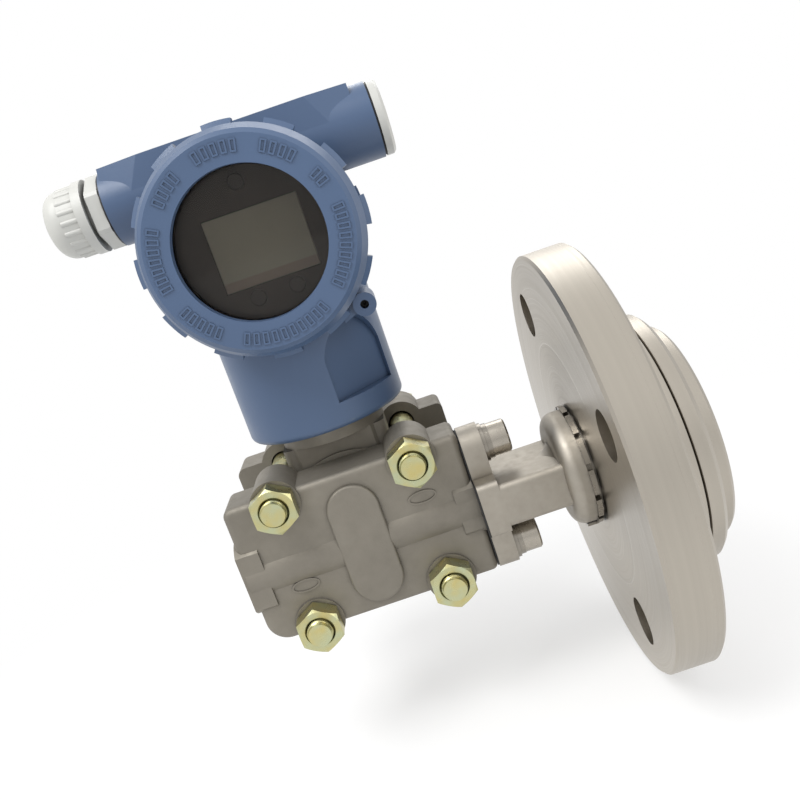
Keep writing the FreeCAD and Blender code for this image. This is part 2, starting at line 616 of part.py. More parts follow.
def flange_nut(x, z):
    base = V(x, -BOSS_FACE - NUT_THICKNESS, z)
    nut = hexagon(base, AXIS_Y, NUT_WIDTH, NUT_THICKNESS)
    nut = rounded_hexagon(nut, base, NUT_THICKNESS, True)
    return nut.cut(rod(base - AXIS_Y, base + AXIS_Y * (NUT_THICKNESS + 1), BOLT_DIAMETER + 2 * RUN_FIT))


# ---------------------------------------------------------------- sensor module
def sensor_module():
    low, high = MID_Y - MODULE_HALF, MID_Y + MODULE_HALF
    radius, waist = MODULE_DIAMETER / 2, MODULE_DIAMETER / 2 - MODULE_WAIST_DEPTH
    body = turned([(low, 0), (low, radius), (low + MODULE_WAIST, radius),
                   (low + MODULE_WAIST + MODULE_WAIST_DEPTH, waist),
                   (high - MODULE_WAIST - MODULE_WAIST_DEPTH, waist),
                   (high - MODULE_WAIST, radius), (high, radius), (high, 0)],
                  V(BODY_X, 0, PORT_DROP), AXIS_Y)
    shoulder = block(V(BODY_X - SHOULDER_WIDTH / 2, low + SHOULDER_MARGIN, PORT_DROP),
                     V(BODY_X + SHOULDER_WIDTH / 2, high - SHOULDER_MARGIN, SHOULDER_TOP))
    shoulder = shoulder.makeFillet(SHOULDER_MARGIN, edges_where(shoulder, lambda e: e.BoundBox.ZLength > 1))
    neck = rod(V(BODY_X, MID_Y, PORT_DROP), V(BODY_X, MID_Y, MODULE_NECK_TOP), MODULE_NECK_DIAMETER)
    slab = block(V(BODY_X - radius, low + SHOULDER_MARGIN / 2, PORT_DROP),
                 V(BODY_X + radius, high - SHOULDER_MARGIN / 2, MODULE_NECK_TOP + 1))
    neck = neck.common(slab).fuse(rod(V(BODY_X, MID_Y, SHOULDER_TOP + LOOSE_FIT),
                                      V(BODY_X, MID_Y, MODULE_NECK_TOP), MODULE_NECK_DIAMETER))
    body = body.fuse(shoulder).fuse(neck).removeSplitter()
    ring = tube(V(BODY_X, MID_Y, NECK_ORING_HEIGHT - NECK_ORING_SECTION / 2 - LOOSE_FIT),
                V(BODY_X, MID_Y, NECK_ORING_HEIGHT + NECK_ORING_SECTION / 2 + LOOSE_FIT),
                MODULE_NECK_DIAMETER + 1, neck_oring_diameter() - NECK_ORING_SECTION - 2 * RUN_FIT)
    body = body.cut(ring)
    recess, pool = ISOLATOR_DIAMETER + 2 * LOOSE_FIT, ISOLATOR_DIAMETER * DIAPHRAGM_LAND
    depth = ISOLATOR_RECESS + ISOLATOR_WAVE_HEIGHT + LOOSE_FIT
    for face, inward in ((low, 1), (high, -1)):
        body = body.cut(rod(V(BODY_X, face - inward, PORT_DROP),
                            V(BODY_X, face + inward * ISOLATOR_RECESS, PORT_DROP), recess))
        body = body.cut(rod(V(BODY_X, face, PORT_DROP), V(BODY_X, face + inward * depth, PORT_DROP), pool))
    return body


def neck_oring_diameter():
    return MODULE_NECK_DIAMETER - NECK_ORING_SECTION - 2 * RUN_FIT


def neck_oring():
    return ring_seal(V(BODY_X, MID_Y, NECK_ORING_HEIGHT), AXIS_Z, neck_oring_diameter(), NECK_ORING_SECTION)


def isolating_diaphragm():
    face = -(MID_Y - MODULE_HALF + ISOLATOR_RECESS - ISOLATOR_THICKNESS)
    return wavy_disc(face, ISOLATOR_DIAMETER / 2, ISOLATOR_THICKNESS, ISOLATOR_WAVES,
                     ISOLATOR_WAVE_HEIGHT, V(BODY_X, 0, PORT_DROP), AXIS_Y * -1)


# ---------------------------------------------------------------- housing
def at_housing(x, y, z):
    """Point given from the neck axis at the height of the ports; front is -Y."""
    return V(BODY_X + x, MID_Y + y, z)


def at_entry(sign, out):
    """Point on a cable entry's axis, out from the housing's end face."""
    reach = PLUG_REACH if sign > 0 else GLAND_REACH
    return at_housing(sign * (reach + out), 0, CONDUIT_HEIGHT)


def roof():
    """Faceted block over the cable entries; its foot meets the widest line of their round."""
    def outline(z, end, face, depth, end_depth):
        half = [(-end, -end_depth), (-face, -depth), (face, -depth), (end, -end_depth),
                (end, end_depth), (face, depth), (-face, depth), (-end, end_depth)]
        points = [at_housing(x, y, z) for x, y in half]
        return Part.makePolygon(points + [points[0]])
    foot = outline(CONDUIT_HEIGHT, ROOF_END_BOTTOM, ROOF_FACE_BOTTOM, CONDUIT_DIAMETER / 2,
                   ROOF_END_DEPTH_BOTTOM)
    top = outline(ROOF_TOP, ROOF_END_TOP, ROOF_FACE_TOP, ROOF_DEPTH_TOP, ROOF_END_DEPTH_TOP)
    return Part.makeLoft([foot, top], True, True)


def neck_solid():
    bottom, top = at_housing(0, 0, NECK_BOTTOM), at_housing(0, 0, HOUSING_CENTRE)
    neck = rod(bottom, top, NECK_DIAMETER)
    rim = edges_where(neck, lambda e: lies_at(e, AXIS_Z, NECK_BOTTOM))
    return neck.makeFillet(NECK_ROUNDING, rim)


def neck_pocket():
    """Arched recess in the neck's flank; its floor is flat."""
    half = POCKET_WIDTH / 2
    shoulder = POCKET_TOP - POCKET_WIDTH * 0.5
    outline = Part.Wire([
        Part.LineSegment(V(-half, 0, POCKET_BOTTOM), V(half, 0, POCKET_BOTTOM)).toShape(),
        Part.LineSegment(V(half, 0, POCKET_BOTTOM), V(half, 0, shoulder)).toShape(),
        Part.Arc(V(half, 0, shoulder), V(half * 0.62, 0, POCKET_TOP - POCKET_WIDTH * 0.16),
                 V(0, 0, POCKET_TOP)).toShape(),
        Part.Arc(V(0, 0, POCKET_TOP), V(-half * 0.62, 0, POCKET_TOP - POCKET_WIDTH * 0.16),
                 V(-half, 0, shoulder)).toShape(),
        Part.LineSegment(V(-half, 0, shoulder), V(-half, 0, POCKET_BOTTOM)).toShape()])
    cutter = Part.Face(outline).extrude(V(0, -NECK_DIAMETER, 0))
    cutter.translate(V(0, -POCKET_FLOOR, 0))
    cutter.rotate(V(0, 0, 0), AXIS_Z, POCKET_ANGLE)
    cutter.translate(at_housing(0, 0, 0))
    return cutter


def lock_boss():
    z = HOUSING_CENTRE - LOCK_BOSS_DROP
    return rod(at_housing(LOCK_BOSS_X, -HOUSING_FRONT, z), at_housing(LOCK_BOSS_X, -WALL_FRONT, z),
               LOCK_BOSS_DIAMETER)


def lock_boss_web():
    """Web that carries the lock boss on the neck."""
    z, half = HOUSING_CENTRE - LOCK_BOSS_DROP, LOCK_BOSS_DIAMETER / 2
    return block(at_housing(LOCK_BOSS_X - 2 * half, -HOUSING_FRONT + 1, z - half),
                 at_housing(LOCK_BOSS_X, -WALL_FRONT, z + half))


def housing_cavities():
    """Everything that is bored or cored out of the housing."""
    centre = HOUSING_CENTRE
    front, rear = -HOUSING_FRONT, HOUSING_REAR
    wall_rear = -WALL_FRONT + WALL_THICKNESS
    cuts = [rod(at_housing(0, front - 1, centre), at_housing(0, front + THREAD_DEPTH, centre), THREAD_DIAMETER),
            rod(at_housing(0, front, centre), at_housing(0, -WALL_FRONT, centre), COMPARTMENT_DIAMETER),
            rod(at_housing(0, wall_rear, centre), at_housing(0, rear, centre), COMPARTMENT_DIAMETER),
            rod(at_housing(0, rear - THREAD_DEPTH, centre), at_housing(0, rear + 1, centre), THREAD_DIAMETER)]
    for sign in (1, -1):
        cuts.append(rod(at_entry(sign, 1), at_housing(0, 0, CONDUIT_HEIGHT), CONDUIT_BORE))
    cuts.append(Part.makeCylinder(NECK_BORE_RADIUS, NECK_BORE_TOP - NECK_BOTTOM + 1,
                                  at_housing(0, 0, NECK_BOTTOM - 1)))
    passage_y = -WALL_FRONT - WIRE_PASSAGE / 2
    cuts.append(rod(at_housing(0, passage_y, MODULE_NECK_TOP - 1), at_housing(0, passage_y, centre), WIRE_PASSAGE))
    z = centre - LOCK_BOSS_DROP
    cuts.append(rod(at_housing(LOCK_BOSS_X, -HOUSING_FRONT - 1, z),
                    at_housing(LOCK_BOSS_X, -HOUSING_FRONT + LOCK_SCREW_RECESS + LOCK_SCREW_LENGTH, z),
                    LOCK_SCREW_DIAMETER + 2 * RUN_FIT))
    cuts.append(rod(at_housing(0, NECK_DIAMETER / 2 + 1, SWIVEL_SCREW_HEIGHT),
                    at_housing(0, 0, SWIVEL_SCREW_HEIGHT), SWIVEL_SCREW_DIAMETER + 2 * RUN_FIT))
    return cuts


def housing():
    centre = HOUSING_CENTRE
    body = rod(at_housing(0, -HOUSING_FRONT, centre), at_housing(0, HOUSING_REAR, centre), HOUSING_DIAMETER)
    body = body.fuse(neck_solid())
    body = body.fuse(rod(at_entry(-1, 0), at_entry(1, 0), CONDUIT_DIAMETER))
    body = body.fuse([roof(), lock_boss(), lock_boss_web()])
    body = body.cut(neck_pocket().cut(lock_boss()))
    for cavity in housing_cavities():
        body = body.cut(cavity)
    return body.removeSplitter()


def cover_lock_screw():
    z = HOUSING_CENTRE - LOCK_BOSS_DROP
    start = at_housing(LOCK_BOSS_X, -HOUSING_FRONT + LOCK_SCREW_RECESS, z)
    screw = rod(start, start + AXIS_Y * LOCK_SCREW_LENGTH, LOCK_SCREW_DIAMETER)
    return screw.cut(hexagon(start - AXIS_Y, AXIS_Y, LOCK_SCREW_DIAMETER / 2, LOCK_SCREW_LENGTH / 3 + 1))


def swivel_lock_screw():
    tip = at_housing(0, NECK_BORE_RADIUS + RUN_FIT, SWIVEL_SCREW_HEIGHT)
    screw = rod(tip, tip + AXIS_Y * SWIVEL_SCREW_LENGTH, SWIVEL_SCREW_DIAMETER)
    socket = hexagon(tip + AXIS_Y * (SWIVEL_SCREW_LENGTH * 0.6), AXIS_Y, SWIVEL_SCREW_DIAMETER / 2,
                     SWIVEL_SCREW_LENGTH)
    return screw.cut(socket)


# ---------------------------------------------------------------- covers
def cover_lugs(depth):
    """Lugs round a cover; the cover's face is at 0 and its rim at depth."""
    start, skirt, root = depth - LUG_LENGTH, COVER_SKIRT_DIAMETER / 2, COVER_FACE_DIAMETER / 2 - 2
    outline = [(start, root), (start, skirt), (start + LUG_SLOPE, LUG_DIAMETER / 2),
               (depth, LUG_DIAMETER / 2), (depth, root)]
    lugs = []
    for i in range(LUG_COUNT):
        lug = turned(outline, V(0, 0, 0), AXIS_Y, LUG_SWEEP)
        lug.rotate(V(0, 0, 0), AXIS_Y, LUG_TURN - LUG_SWEEP / 2 - 90 + 360.0 * i / LUG_COUNT)
        lugs.append(lug)
    return lugs


def cover_blank(depth):
    """Solid cover with lugs, thread spigot and seal groove; face at y=0, spigot along +Y."""
    face, skirt = COVER_FACE_DIAMETER / 2, COVER_SKIRT_DIAMETER / 2
    spigot = THREAD_DIAMETER / 2 - RUN_FIT
    groove_start = depth + LOOSE_FIT
    floor = THREAD_DIAMETER / 2 - COVER_ORING_DEPTH
    body = turned([(0, 0), (0, face - COVER_FACE_ROUNDING), (COVER_FACE_ROUNDING, face),
                   (COVER_FACE_DEPTH, face), (COVER_FACE_DEPTH + COVER_FLARE, skirt), (depth, skirt),
                   (depth, spigot), (groove_start, spigot), (groove_start, floor),
                   (groove_start + COVER_ORING_GROOVE, floor), (groove_start + COVER_ORING_GROOVE, spigot),
                   (depth + COVER_THREAD_LENGTH, spigot), (depth + COVER_THREAD_LENGTH, 0)],
                  V(0, 0, 0), AXIS_Y)
    return body.fuse(cover_lugs(depth)).removeSplitter()


def place_front(shape):
    shape.translate(V(BODY_X, COVER_FRONT, HOUSING_CENTRE))
    return shape


def place_rear(shape):
    shape.rotate(V(0, 0, 0), AXIS_Z, 180)
    shape.translate(V(BODY_X, REAR_RIM + REAR_COVER_DEPTH, HOUSING_CENTRE))
    return shape


def front_cover():
    depth = FRONT_COVER_DEPTH
    body = cover_blank(depth)
    body = body.cut(rod(V(0, -1, 0), V(0, WINDOW_LIP + 1, 0), WINDOW_DIAMETER))
    body = body.cut(rod(V(0, WINDOW_LIP, 0), V(0, depth + COVER_THREAD_LENGTH + 1, 0),
                        GLASS_DIAMETER + 2 * LOOSE_FIT))
    return place_front(body)


def rear_cover():
    depth = REAR_COVER_DEPTH
    body = cover_blank(depth)
    body = body.cut(rod(V(0, COVER_WALL, 0), V(0, depth + COVER_THREAD_LENGTH + 1, 0),
                        GLASS_DIAMETER + 2 * LOOSE_FIT))
    return place_rear(body)


def cover_oring(depth):
    middle = depth + LOOSE_FIT + COVER_ORING_GROOVE / 2
    diameter = THREAD_DIAMETER - 2 * (COVER_ORING_DEPTH - LOOSE_FIT) + COVER_ORING_SECTION
    return ring_seal(V(0, middle, 0), AXIS_Y, diameter, COVER_ORING_SECTION)


def window_gasket():
    return place_front(tube(V(0, WINDOW_LIP, 0), V(0, WINDOW_LIP + WINDOW_GASKET_THICKNESS, 0),
                            GLASS_DIAMETER, WINDOW_DIAMETER + 1))


def window_glass():
    start = WINDOW_LIP + WINDOW_GASKET_THICKNESS
    return place_front(rod(V(0, start, 0), V(0, start + GLASS_THICKNESS, 0), GLASS_DIAMETER))


def glass_ring():
    start = WINDOW_LIP + WINDOW_GASKET_THICKNESS + GLASS_THICKNESS
    return place_front(tube(V(0, start, 0), V(0, start + GLASS_RING_THICKNESS, 0),
                            GLASS_DIAMETER + 2 * LOOSE_FIT - 2 * RUN_FIT, GLASS_RING_OPENING))


# ---------------------------------------------------------------- display and electronics
def lcd_box(side, above, low, high):
    """Box behind the bezel's face, from low to high, with margins round the display."""
    half_width, half_height = LCD_WIDTH / 2 + side, LCD_HEIGHT / 2 + above
    x, z = BODY_X + LCD_X, HOUSING_CENTRE + LCD_Z
    return block(V(x - half_width, BEZEL_FACE + low, z - half_height),
                 V(x + half_width, BEZEL_FACE + high, z + half_height))


def display_bezel():
    """Shallow cup that faces the window, with the display's opening and button holes."""
    centre = V(BODY_X, BEZEL_FACE, HOUSING_CENTRE)
    depth = LCD_THICKNESS + 2 * BEZEL_THICKNESS
    cup = rod(centre, centre + AXIS_Y * depth, BEZEL_DIAMETER)
    cup = cup.cut(rod(centre + AXIS_Y * BEZEL_THICKNESS, centre + AXIS_Y * (depth + 1),
                      BEZEL_DIAMETER - 2 * BEZEL_THICKNESS))
    cup = cup.cut(lcd_box(0, 0, -1, BEZEL_THICKNESS + 1))
    for x, z in BUTTON_PLACES:
        start = centre + V(x, -1, z)
        cup = cup.cut(rod(start, start + AXIS_Y * (BEZEL_THICKNESS + 2), BUTTON_DIAMETER + 4 * RUN_FIT))
    return cup


def lcd_panel():
    """Glass cell with a rim at each end that lies behind the bezel's opening."""
    fit = -LOOSE_FIT
    panel = lcd_box(fit, fit, BEZEL_THICKNESS / 3, BEZEL_THICKNESS)
    rims = lcd_box(LCD_FRAME, fit, BEZEL_THICKNESS, BEZEL_THICKNESS + LCD_THICKNESS)
    return panel.fuse(rims).removeSplitter()


def push_button(x, z):
    centre = V(BODY_X + x, BEZEL_FACE, HOUSING_CENTRE + z)
    stem = rod(centre - AXIS_Y * BUTTON_PROUD, centre + AXIS_Y * (BEZEL_THICKNESS + LOOSE_FIT), BUTTON_DIAMETER)
    top = edges_where(stem, lambda e: lies_at(e, AXIS_Y, BEZEL_FACE - BUTTON_PROUD))
    stem = stem.makeFillet(BUTTON_DIAMETER * 0.08, top)
    skirt = centre + AXIS_Y * (BEZEL_THICKNESS + LOOSE_FIT)
    return stem.fuse(rod(skirt, skirt + AXIS_Y * BUTTON_FLANGE_THICKNESS, BUTTON_FLANGE))


def display_board():
    start = V(BODY_X, BEZEL_FACE + 2 * BEZEL_THICKNESS + LCD_THICKNESS, HOUSING_CENTRE)
    return rod(start, start + AXIS_Y * BOARD_THICKNESS, BOARD_DIAMETER)


def electronics_module():
    """Potted cup between the display board and the dividing wall."""
    start = V(BODY_X, BEZEL_FACE + 2 * BEZEL_THICKNESS + LCD_THICKNESS + BOARD_THICKNESS, HOUSING_CENTRE)
    return rod(start, V(BODY_X, WALL_FACE, HOUSING_CENTRE), MODULE_CUP_DIAMETER)


def terminal_places():
    wall = WALL_FACE + WALL_THICKNESS
    offset = (TERMINAL_SCREWS - 1) / 2
    return [V(BODY_X + (i - offset) * TERMINAL_PITCH, wall, HOUSING_CENTRE) for i in range(TERMINAL_SCREWS)]


def terminal_block():
    """Stepped block with one open cell for each screw."""
    wall = WALL_FACE + WALL_THICKNESS
    half_width, half_height = TERMINAL_WIDTH / 2, TERMINAL_HEIGHT / 2
    body = block(V(BODY_X - half_width, wall, HOUSING_CENTRE - half_height),
                 V(BODY_X + half_width, wall + TERMINAL_DEPTH, HOUSING_CENTRE + half_height))
    cell = TERMINAL_PITCH - 3.0
    for place in terminal_places():
        body = body.cut(block(V(place.x - cell / 2, wall + TERMINAL_DEPTH / 2, place.z - cell / 2),
                              V(place.x + cell / 2, wall + TERMINAL_DEPTH + 1, place.z + half_height + 1)))
    return body


def terminal_screw(place):
    base = place + AXIS_Y * (TERMINAL_DEPTH / 2)
    head = rod(base, base + AXIS_Y * 3.0, TERMINAL_SCREW_DIAMETER)
    slot = block(base + V(-TERMINAL_SCREW_DIAMETER, 2.0, -0.5), base + V(TERMINAL_SCREW_DIAMETER, 4.0, 0.5))
    return head.cut(slot)


# ---------------------------------------------------------------- cable entries
def entry_washer(sign):
    return tube(at_entry(sign, 0), at_entry(sign, ENTRY_WASHER_THICKNESS), CONDUIT_BORE + 7,
                CONDUIT_BORE + 2 * RUN_FIT)


def gland_body():
    out = AXIS_X * -1
    start = at_entry(-1, ENTRY_WASHER_THICKNESS)
    body = hexagon(start, out, GLAND_HEX_WIDTH, GLAND_HEX_LENGTH)
    body = body.common(rod(start, start + out * GLAND_HEX_LENGTH, GLAND_HEX_WIDTH * 1.12))
    body = body.fuse(rod(at_entry(-1, -GLAND_THREAD_LENGTH), start, CONDUIT_BORE - 2 * RUN_FIT))
    neck_end = at_entry(-1, ENTRY_WASHER_THICKNESS + GLAND_HEX_LENGTH + GLAND_NECK_LENGTH)
    body = body.fuse(rod(start, neck_end, GLAND_NECK_DIAMETER))
    return body.cut(rod(at_entry(-1, -GLAND_THREAD_LENGTH - 1), neck_end + out, GLAND_BORE))


def gland_seal():
    low = at_entry(-1, ENTRY_WASHER_THICKNESS + GLAND_HEX_LENGTH)
    high = at_entry(-1, ENTRY_WASHER_THICKNESS + GLAND_HEX_LENGTH + GLAND_NECK_LENGTH + 3.0)
    return tube(low, high, GLAND_BORE - 2 * LOOSE_FIT, GLAND_CABLE_BORE)


def gland_nut():
    """Domed nut with raised grip ribs, open at its tip for the cable."""
    base = at_entry(-1, ENTRY_WASHER_THICKNESS + GLAND_HEX_LENGTH + GLAND_NUT_GAP)
    out = AXIS_X * -1
    radius, length, dome = GLAND_NUT_DIAMETER / 2, GLAND_NUT_LENGTH, GLAND_NUT_DOME
    tip = GLAND_NUT_MOUTH / 2 + 1.5
    straight = length - dome
    knee = V(straight + dome * 0.66, tip + (radius - tip) * 0.76, 0)
    collar, rim = GLAND_NUT_COLLAR, radius + GLAND_RIB / 2
    outline = Part.Wire([
        Part.LineSegment(V(0, 0, 0), V(0, rim, 0)).toShape(),
        Part.LineSegment(V(0, rim, 0), V(collar, rim, 0)).toShape(),
        Part.LineSegment(V(collar, rim, 0), V(collar, radius, 0)).toShape(),
        Part.LineSegment(V(collar, radius, 0), V(straight, radius, 0)).toShape(),
        Part.Arc(V(straight, radius, 0), knee, V(length, tip, 0)).toShape(),
        Part.LineSegment(V(length, tip, 0), V(length, 0, 0)).toShape(),
        Part.LineSegment(V(length, 0, 0), V(0, 0, 0)).toShape()])
    nut = Part.Face(outline).revolve(V(0, 0, 0), AXIS_X, 360)
    rib = rod(V(collar / 2, 0, radius - GLAND_RIB / 4), V(straight, 0, radius - GLAND_RIB / 4), GLAND_RIB)
    ribs = []
    for i in range(GLAND_RIBS):
        copy = rib.copy()
        copy.rotate(V(0, 0, 0), AXIS_X, 360.0 * i / GLAND_RIBS)
        ribs.append(copy)
    nut = nut.fuse(ribs)
    bore_end = GLAND_NECK_LENGTH - GLAND_NUT_GAP + 2.0
    nut = nut.cut(rod(V(-1, 0, 0), V(bore_end, 0, 0), GLAND_NECK_DIAMETER + 2 * RUN_FIT))
    nut = nut.cut(rod(V(0, 0, 0), V(length + 1, 0, 0), GLAND_NUT_MOUTH))
    seal_room = GLAND_BORE
    nut = nut.cut(rod(V(0, 0, 0), V(GLAND_NECK_LENGTH - GLAND_NUT_GAP + 4.0, 0, 0), seal_room))
    nut.rotate(V(0, 0, 0), AXIS_Z, 180)
    nut.translate(base)
    return nut


def blanking_plug():
    """Round-headed plug with a hexagon socket, hollow behind the socket."""
    start = ENTRY_WASHER_THICKNESS
    head_end = start + PLUG_HEAD_THICKNESS
    radius, shank = PLUG_HEAD_DIAMETER / 2, CONDUIT_BORE / 2 - RUN_FIT
    inner = shank - PLUG_WALL
    plug = turned([(-PLUG_THREAD_LENGTH, inner), (-PLUG_THREAD_LENGTH, shank), (start, shank),
                   (start, radius), (head_end - 1, radius), (head_end, radius - 1), (head_end, 0),
                   (-PLUG_SOCKET_DEPTH, 0), (-PLUG_SOCKET_DEPTH, inner)], at_entry(1, 0), AXIS_X)
    return plug


# ---------------------------------------------------------------- assembly
def all_parts():
    flange, plug = process_flange(), drain_plug()
    gasket, isolator = flange_gasket(), isolating_diaphragm()
    parts = {
        "mounting_flange": mounting_flange(), "seal_head": seal_head(),
        "process_diaphragm": process_diaphragm(), "tab_washer": tab_washer(),
        "shoulder_ring": shoulder_ring(), "seal_adapter": seal_adapter(),
        "adapter_gasket": adapter_gasket(),
        "front_process_flange": flange, "rear_process_flange": about_mid_plane(flange),
        "front_drain_plug": plug, "rear_drain_plug": about_mid_plane(plug),
        "front_flange_gasket": gasket, "rear_flange_gasket": about_mid_plane(gasket),
        "sensor_module": sensor_module(), "neck_oring": neck_oring(),
        "front_isolator": isolator, "rear_isolator": about_mid_plane(isolator),
        "housing": housing(), "cover_lock_screw": cover_lock_screw(),
        "swivel_lock_screw": swivel_lock_screw(),
        "front_cover": front_cover(), "rear_cover": rear_cover(),
        "front_cover_oring": place_front(cover_oring(FRONT_COVER_DEPTH)),
        "rear_cover_oring": place_rear(cover_oring(REAR_COVER_DEPTH)),
        "window_gasket": window_gasket(), "window_glass": window_glass(), "glass_ring": glass_ring(),
        "display_bezel": display_bezel(), "lcd_panel": lcd_panel(), "display_board": display_board(),
        "electronics_module": electronics_module(), "terminal_block": terminal_block(),
        "gland_washer": entry_washer(-1), "gland_body": gland_body(), "gland_seal": gland_seal(),
        "gland_nut": gland_nut(), "plug_washer": entry_washer(1), "blanking_plug": blanking_plug(),
    }
    for name, sign in (("upper", 1), ("lower", -1)):
        parts[name + "_adapter_screw"] = adapter_screw(sign)
        parts[name + "_flat_washer"] = flat_washer(sign)
        parts[name + "_spring_washer"] = spring_washer(sign)
    for i, (x, z) in enumerate(BOLT_PLACES, 1):
        parts["flange_bolt_%d" % i] = flange_bolt(x, z)
        parts["flange_nut_%d" % i] = flange_nut(x, z)
    for name, place in zip(("upper_button", "left_button", "right_button"), BUTTON_PLACES):
        parts[name] = push_button(*place)
    for i, place in enumerate(terminal_places(), 1):
        parts["terminal_screw_%d" % i] = terminal_screw(place)
    return parts


def main():
    os.makedirs("parts", exist_ok=True)
    for name, shape in all_parts().items():
        shape.exportStep("parts/%s.step" % name)


main()
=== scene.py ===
"""Looks of the differential pressure transmitter, laid out as a Blender add-on and run as a script."""
import math

import bpy
from bpy.props import FloatProperty, FloatVectorProperty, PointerProperty
from mathutils import Matrix, Vector


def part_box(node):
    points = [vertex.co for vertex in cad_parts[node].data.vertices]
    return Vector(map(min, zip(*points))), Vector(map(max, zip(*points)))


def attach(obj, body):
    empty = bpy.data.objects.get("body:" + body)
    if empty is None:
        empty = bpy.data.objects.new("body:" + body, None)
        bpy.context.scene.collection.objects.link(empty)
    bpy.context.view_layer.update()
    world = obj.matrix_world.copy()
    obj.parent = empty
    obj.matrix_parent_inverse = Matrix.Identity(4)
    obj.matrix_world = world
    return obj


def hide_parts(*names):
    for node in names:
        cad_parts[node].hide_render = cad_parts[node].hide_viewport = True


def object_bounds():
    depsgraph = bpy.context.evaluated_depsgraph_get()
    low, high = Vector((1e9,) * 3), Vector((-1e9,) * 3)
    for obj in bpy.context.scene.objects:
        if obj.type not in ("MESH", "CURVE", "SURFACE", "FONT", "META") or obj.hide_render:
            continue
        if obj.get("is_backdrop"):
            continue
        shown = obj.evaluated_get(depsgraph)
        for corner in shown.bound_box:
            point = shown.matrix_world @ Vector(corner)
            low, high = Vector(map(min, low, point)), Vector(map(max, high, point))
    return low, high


bl_info = {
    "name": "Differential pressure transmitter looks",
    "blender": (4, 5, 0),
    "version": (1, 0, 0),
    "location": "3D View > Sidebar > Transmitter",
    "description": "Finishes and surface detail of a flange-seal pressure transmitter",
    "category": "Object",
}

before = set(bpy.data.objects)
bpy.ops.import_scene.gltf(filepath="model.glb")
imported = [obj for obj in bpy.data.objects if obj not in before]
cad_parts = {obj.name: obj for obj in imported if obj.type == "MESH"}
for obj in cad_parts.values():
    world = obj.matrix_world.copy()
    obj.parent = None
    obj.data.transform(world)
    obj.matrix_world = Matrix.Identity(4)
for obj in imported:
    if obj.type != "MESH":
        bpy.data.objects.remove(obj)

BASE = "transmitter_base"
FRONT_COVER = "front_cover_assembly"

# Metres, unless a line says otherwise.
PAINTED_SHADE_REACH = 0.0028          # faces closer than this darken each other with painted shade
COVER_THREAD_BAND = 0.0006      # thickness of the skin that counts as thread
COVER_THREAD_MIDDLE = 0.02675   # from the barrel's middle to the middle of either thread
COVER_THREAD_HALF = 0.0078      # half the length of either thread
LEDGE_LOW, LEDGE_HIGH = -0.0098, -0.0092   # edge of the display's darker strip

MARK_GROUPS = (4, 2, 9, 10, 5, 7, 4, 5)
MARK_START, MARK_STEP = math.radians(28.0), math.radians(5.8)
MARK_TALL, MARK_WIDE, MARK_STROKE = 0.0044, 0.0022, 0.0006

FLANGE_FACE = 0.009
OVAL_PLACES = ((0.0258, 0.0109), (-0.0268, -0.0077))
OVAL_LONG, OVAL_TALL, OVAL_STROKE = 0.0112, 0.0052, 0.0007

SHEET_WIDTH, SHEET_WAIST, SHEET_LOBE = 0.0348, 0.0198, 0.0158

FASTENERS = range(1, 5)
NUT_CLEARANCE, COUNTERSINK = 0.00005, 0.0007
BOLT_HEAD, BOLT_SHANK = 0.0064, 0.0049
CORNER_SLOPE = 0.7
POINT_RADIUS = 0.0001           # a turned face ends this close to its axis

FLOOR_HALF, FLOOR_GAP, FLOOR_FADE = 6.0, 0.0005, 0.36
WHITE = (1.0, 1.0, 1.0, 1.0)
CAMERA_PLACE = Vector((-0.09486, -0.32317, 0.12409))


